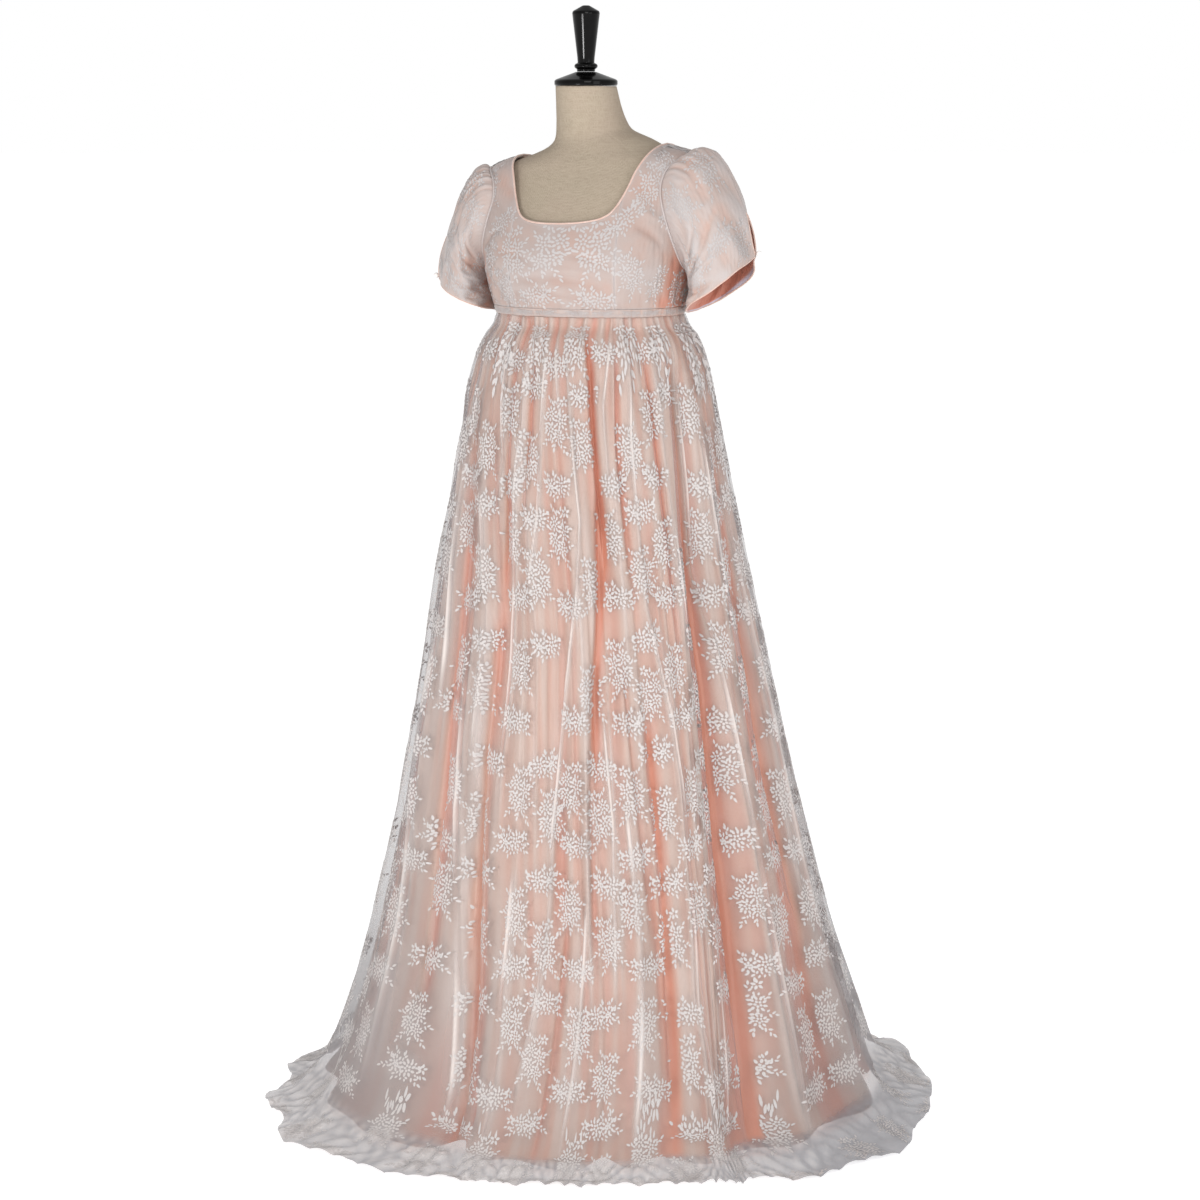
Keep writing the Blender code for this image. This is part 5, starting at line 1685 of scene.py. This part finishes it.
def embroider_bodice(panels):
    """Sprays over the bodice; a leaf that would reach over the edge of the bodice is left out."""
    leaves, centres = sprays_at(FRONT_SPRAYS + back_sprays())
    angle = centres[:, 0][:, None] + np.degrees(leaves[..., 0] / BODICE_RADIUS)
    z = centres[:, 1][:, None] + leaves[..., 1]
    kept = np.zeros(angle.shape, bool)
    for _, points, side, _ in panels:
        outline = rim_of(points) * (side, 1)
        for turn in (-360, 0, 360):
            kept |= inside_outline(np.stack([angle + turn, z], -1), outline)
    whole = kept.all(axis=1)
    angle, z, height = angle[whole], z[whole], leaves[whole][..., 2]
    lift = BODICE_EASE + shoulder_ease(z) + BODICE_WALL + bodice_relief(angle, z)
    points = body_surface(angle, z, lift + height)
    leaf_mesh("embroidery_bodice", points, points - body_surface(angle, z, lift - 0.003), SOFT_THREAD)


BAND_SPRAYS = 22
BAND_MARGIN = 0.0015         # left plain along the band's edges
BAND_SPRAY_SIZE = (0.46, 0.26)       # width and height, as shares of a full spray
BAND_STITCH_RISE = 0.0009            # the stitches lie this far off the band
BAND_STITCH_HEIGHT = 0.8             # and are this share of their full height


def embroider_band():
    """Small sprays along the waistband."""
    specs = [("wide", 0.12 * (-1) ** k, k % 2 == 0, *BAND_SPRAY_SIZE) for k in range(BAND_SPRAYS)]
    leaves, owner = placed_sprays(specs)
    angle = (-180 + 360 * (owner + 0.5) / BAND_SPRAYS)[:, None] + np.degrees(leaves[..., 0] / BODICE_RADIUS)
    z = (BAND_TOP_Z + BAND_BOTTOM_Z) / 2 + leaves[..., 1]
    kept = within(z, BAND_BOTTOM_Z + BAND_MARGIN, BAND_TOP_Z - BAND_MARGIN)
    angle, z, height = angle[kept], z[kept], leaves[kept][..., 2]
    points = body_surface(angle, z, BAND_EASE + BAND_WALL + BAND_STITCH_RISE + BAND_STITCH_HEIGHT * height)
    points[..., 2] = z
    leaf_mesh("embroidery_band", points, points - (0.0, 0.0, 1.16), SOFT_THREAD)


# ---------------------------------------------------------------- the sleeves
SLEEVE_COLUMNS = 180
SLEEVE_ROWS = 80
SLEEVE_ROUND = 0.42         # metres of cloth round a sleeve and down it, for its creases
SLEEVE_DOWN = 0.17
SLIT_SHARE = 1 / 24         # the slit's gap fades out over this share of the way round
SLIT_OPENS = 0.74           # the roll along the slit starts at this share of the sleeve's length
SLEEVE_FULL = (0.35, 0.15)  # how far the sleeve swells to front and back, at its top and at its hem
SLEEVE_SEAM_DEPTH = 0.0008
SLEEVE_FOLD_DEPTH = 0.0035  # creases this deep count as 1 in the sleeve's painted crease shade
HEM_ROLL = 0.0012

# Sprays of a sleeve: share round, share along, kind, turn, mirrored, scale
SLEEVE_SPRAYS = {
    "left": (
        (0.07, 0.34, "tall", 0.2, False, 0.95), (0.20, 0.26, "tall", -0.2, True, 0.90),
        (0.16, 0.72, "wide", 0.3, False, 0.90), (0.31, 0.58, "tall", -0.3, False, 0.85),
        (0.40, 0.22, "wide", 0.5, True, 0.70), (0.07, 0.86, "tall", 0.0, True, 0.75),
        (0.42, 0.74, "wide", -0.3, True, 0.75), (0.58, 0.40, "tall", 0.2, True, 0.80),
        (0.70, 0.72, "wide", -0.2, False, 0.90), (0.72, 0.26, "tall", 0.3, False, 0.85),
        (0.86, 0.54, "tall", -0.2, True, 0.95), (0.92, 0.20, "wide", 0.2, False, 0.80),
        (0.94, 0.84, "wide", 0.0, True, 0.70), (0.55, 0.82, "wide", 0.2, False, 0.70),
    ),
    "right": (
        (0.08, 0.30, "tall", -0.2, False, 0.90), (0.21, 0.22, "wide", 0.4, True, 0.85),
        (0.15, 0.66, "tall", 0.3, False, 0.80), (0.30, 0.50, "wide", -0.4, False, 0.85),
        (0.42, 0.24, "tall", 0.2, True, 0.75), (0.27, 0.82, "wide", 0.1, True, 0.85),
        (0.42, 0.70, "tall", -0.2, True, 0.75), (0.58, 0.40, "wide", 0.2, True, 0.80),
        (0.70, 0.74, "tall", -0.2, False, 0.85), (0.72, 0.24, "wide", 0.3, False, 0.85),
        (0.86, 0.56, "tall", -0.2, True, 0.90), (0.92, 0.22, "tall", 0.2, False, 0.80),
        (0.06, 0.88, "wide", 0.0, False, 0.60), (0.56, 0.80, "wide", 0.2, False, 0.70),
    ),
}


def sleeve_surface(side, hem):
    """The sleeve's outer face without creases: rows from armhole to hem, columns round from the slit."""
    lift = BODICE_EASE + BODICE_WALL + SEAM_GAP

    def armhole_edge(share):
        hole = armhole(share)
        return body_surface(side * hole[..., 0], hole[..., 1], lift + shoulder_ease(hole[..., 1]))

    middle = armhole_edge(np.arange(24) / 24).mean(axis=0)
    share, along = np.linspace(0, 1, SLEEVE_COLUMNS + 1), np.linspace(0, 1, SLEEVE_ROWS + 1)[:, None, None]
    edge = armhole_edge(share)
    start = middle + (edge - middle) * (1 - 2 * SEAM_GAP / ARMHOLE_RADII[0])
    start[:, 0] = edge[:, 0]
    end = smooth(hem, share)
    push_out, push_up, pull_up, pull_out = np.moveaxis(smooth(SLEEVE_RISE, 1 - np.abs(1 - 2 * share)), -1, 0)
    push_up = push_up * CAP_HEIGHT[side]
    full_top, full_hem = SLEEVE_FULL
    fore = start + np.stack([side * push_out, full_top * (start[:, 1] - middle[1]), push_up], -1)
    aft = end + np.stack([side * pull_out, full_hem * end[:, 1], pull_up], -1)
    grid = (start * (1 - along) ** 3 + fore * (3 * along * (1 - along) ** 2)
            + aft * (3 * along ** 2 * (1 - along)) + end * along ** 3)
    half_gap = np.maximum(smooth(SLIT, np.linspace(0, 1, SLEEVE_ROWS + 1)), SEAM_GAP / 2)
    fade = np.clip(1 - share / SLIT_SHARE, 0, 1) - np.clip(1 - (1 - share) / SLIT_SHARE, 0, 1)
    grid[..., 1] -= half_gap * fade[None]
    return grid


def sleeve_relief(word):
    """How far creases, cap pleats and a soft crinkle carry the sleeve in, over its grid."""
    share, along = np.meshgrid(np.linspace(0, 1, SLEEVE_COLUMNS + 1), np.linspace(0, 1, SLEEVE_ROWS + 1))
    x, y = share * SLEEVE_ROUND, along * SLEEVE_DOWN
    rows = [(a * SLEEVE_ROUND, b * SLEEVE_DOWN, c * SLEEVE_ROUND, d * SLEEVE_DOWN, *rest)
            for a, b, c, d, *rest in SLEEVE_CREASES[word]]
    pleat_seed, soft_seed, crinkle_seed = SLEEVE_SEEDS[word]
    from_slit = np.minimum(share, 1 - share)
    cap = (1 - ease(from_slit * SLEEVE_ROUND, 0.035, 0.085)) * (1 - ease(along, 0.06, 0.50))
    pleats = uneven(x, y, *SLEEVE_PLEATS, pleat_seed) * cap
    soft = uneven(x, y, *SLEEVE_SOFTNESS, soft_seed) * ease(along, 0.05, 0.25)
    crinkle = uneven(x, y, *SLEEVE_CRINKLE, crinkle_seed)
    armhole_hold = 1 - 0.8 * hump(along, 0.04)
    hem_hold = 1 - 0.5 * ease(along, 0.93, 1.0)
    slit_hold = 0.3 + 0.7 * ease(from_slit, 0.0, 0.02)
    seam = SLEEVE_SEAM_DEPTH * hump(along, 0.020)
    total = creased(x, y, rows) + pleats + soft + crinkle
    return total * armhole_hold * hem_hold * slit_hold + seam, share, along


def make_sleeve(word, side, hem):
    """A sleeve, the roll round its hem and slit, and its sprays."""
    plain = sleeve_surface(side, hem)
    inward, share, along = sleeve_relief(word)
    normals = outward_normals(plain, np.array((side * 0.185, 0.0, 1.25)))
    outer = plain - normals * inward[..., None]
    inner = plain - normals * (SLEEVE_WALL + inward)[..., None]
    # Painted light and shade: coral deepens in the creases and under the arm, and pales on the tops of the
    # creases
    under = hump(share - 0.5, 0.13) * ease(along, 0.0, 0.5)
    fold = np.clip(inward / SLEEVE_FOLD_DEPTH, -0.25, 0.5)
    coral = weighed(SLEEVE_CORAL_AND_PAINTED_LIGHT, fold=fold, under=under)
    edge_lace = ease(along, 0.94, 0.97) * ease(share, 0.46, 0.56)
    piece = walled_sheet("sleeve_cloth_" + word, outer, inner, LINING, coral=coral, edge_lace=edge_lace)
    worn(piece, "sleeve_" + word)

    slit_from = int(SLIT_OPENS * SLEEVE_ROWS)
    path = sum(np.concatenate([face[slit_from:-1, 0], face[-1], face[-2:slit_from:-1, -1]]) * 0.5
               for face in (outer, inner))
    roll = worn(tube("sleeve_hem_" + word, path, HEM_ROLL, PIPING))

    leaves, centres = sprays_at(SLEEVE_SPRAYS[word])
    centres = centres[:, ::-1] * (SLEEVE_ROWS, SLEEVE_COLUMNS)
    row, column = leaf_places(leaves, centres, *grid_steps(plain))
    inside = within(row, 1, SLEEVE_ROWS - 1) & within(column, 1, SLEEVE_COLUMNS - 1)
    points, outward = on_grid(outer, normals, row[inside], column[inside], leaves[inside][..., 2])
    sprays = leaf_mesh("embroidery_sleeve_" + word, points, outward, SOFT_THREAD)


def make_button(word, side, hem):
    centre = np.array(hem[0][1:]) + (side * (BUTTON_RADIUS + 2 * SEAM_GAP), 0, BUTTON_RISE)
    turns = np.linspace(0, pi, 25)
    profile = [(max(BUTTON_RADIUS * sin(t), 0.00005), -BUTTON_RADIUS * cos(t)) for t in turns]
    worn(turned("pearl_" + word, profile, centre, PEARL, sides=40), "button_" + word)


# ---------------------------------------------------------------- floor, light and camera
CAMERA_TURN = 21.0           # degrees round from the front to the wearer's left
CAMERA_DISTANCE = 4.90
CAMERA_HEIGHT = 1.50
CAMERA_DOWN = 8.83
CAMERA_ASIDE = 0.17          # the view points this many degrees to the right of the gown's middle
FOCAL_PIXELS = 3396.0        # in the frame of 1200 pixels
FRAME_PIXELS = 1200.0
SENSOR = 36.0
FLOOR_CORNERS = 96
FLOOR_RADII = (1.0, 3.0, 10.0, 60.0)
FLOOR_BELOW = 0.0004         # so that the floor lies clear of what stands on it


def make_floor():
    """A wide flat disc just under the gown, its rings closer together near the middle."""
    turns = 2 * pi * np.arange(FLOOR_CORNERS) / FLOOR_CORNERS
    points = [(0.0, 0.0, 0.0)]
    for radius in FLOOR_RADII:
        points += [(radius * cos(t), radius * sin(t), 0.0) for t in turns]
    faces = [(0, 1 + k, 1 + (k + 1) % FLOOR_CORNERS) for k in range(FLOOR_CORNERS)]
    faces += [(a, d, c, b) for a, b, c, d in (1 + ring_faces(len(FLOOR_RADII), FLOOR_CORNERS)).tolist()]
    mesh = bpy.data.meshes.new("floor")
    mesh.from_pydata(points, [], faces)
    mesh.materials.append(floor_material())
    floor = bpy.data.objects.new("floor", mesh)
    floor.location.z = -FLOOR_BELOW
    bpy.context.scene.collection.objects.link(floor)


def make_light(name, place, aim, size, power, colour):
    lamp = bpy.data.lights.new(name, "AREA")
    lamp.shape = "RECTANGLE"
    lamp.size, lamp.size_y = size
    lamp.energy = power
    lamp.color = colour
    thing = bpy.data.objects.new(name, lamp)
    thing.location = place
    thing.rotation_euler = (Vector(aim) - Vector(place)).to_track_quat("-Z", "Y").to_euler()
    bpy.context.scene.collection.objects.link(thing)


def make_world():
    """A white backdrop that lights the gown a little less than it shows."""
    world = bpy.data.worlds.new("studio")
    world.use_nodes = True
    tree = world.node_tree
    back = tree.nodes["Background"]
    back.inputs["Color"].default_value = (1.0, 1.0, 1.0, 1.0)
    seen = tree.nodes.new("ShaderNodeLightPath")
    strength = tree.nodes.new("ShaderNodeMapRange")
    strength.inputs["To Min"].default_value = AMBIENT
    tree.links.new(seen.outputs["Is Camera Ray"], strength.inputs["Value"])
    tree.links.new(strength.outputs[0], back.inputs["Strength"])
    bpy.context.scene.world = world
    bpy.context.scene.view_settings.view_transform = "Standard"


# Name, place, aim, width and height, power, colour
LIGHTS = (
    ("key", (2.3, -4.4, 3.0), (0.0, 0.0, 0.8), (2.2, 2.8), 92, (1.0, 0.985, 0.97)),
    ("fill", (4.4, -2.6, 2.2), (0.0, 0.0, 0.7), (2.2, 2.6), 36, (0.97, 0.98, 1.0)),
    ("strip", (-0.64, -3.87, 0.71), (0.0, 0.0, 1.55), (0.85, 0.34), 46, (1.0, 1.0, 1.0)),
)


def make_camera():
    lens = bpy.data.cameras.new("camera")
    lens.sensor_width = SENSOR
    lens.lens = SENSOR * FOCAL_PIXELS / FRAME_PIXELS
    camera = bpy.data.objects.new("camera", lens)
    turn = radians(CAMERA_TURN)
    camera.location = (CAMERA_DISTANCE * sin(turn), -CAMERA_DISTANCE * cos(turn), CAMERA_HEIGHT)
    camera.rotation_euler = (radians(90 - CAMERA_DOWN), 0.0, turn - radians(CAMERA_ASIDE))
    bpy.context.scene.collection.objects.link(camera)
    bpy.context.scene.camera = camera


make_camera()
for light in LIGHTS:
    make_light(*light)
make_world()
make_floor()
make_form()
make_cap()
bodice_panels = make_bodice()
make_neckline()
embroider_bodice(bodice_panels)
make_waistband()
embroider_band()
make_skirts()
for (arm, arm_side), arm_hem in zip(SIDES, (HEM_LEFT, HEM_RIGHT)):
    make_sleeve(arm, arm_side, arm_hem)
    make_button(arm, arm_side, arm_hem)
for stand_node in ("stand_pole", "stand_base"):
    stand_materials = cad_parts[stand_node].data.materials
    stand_materials.clear()
    stand_materials.append(STEEL)
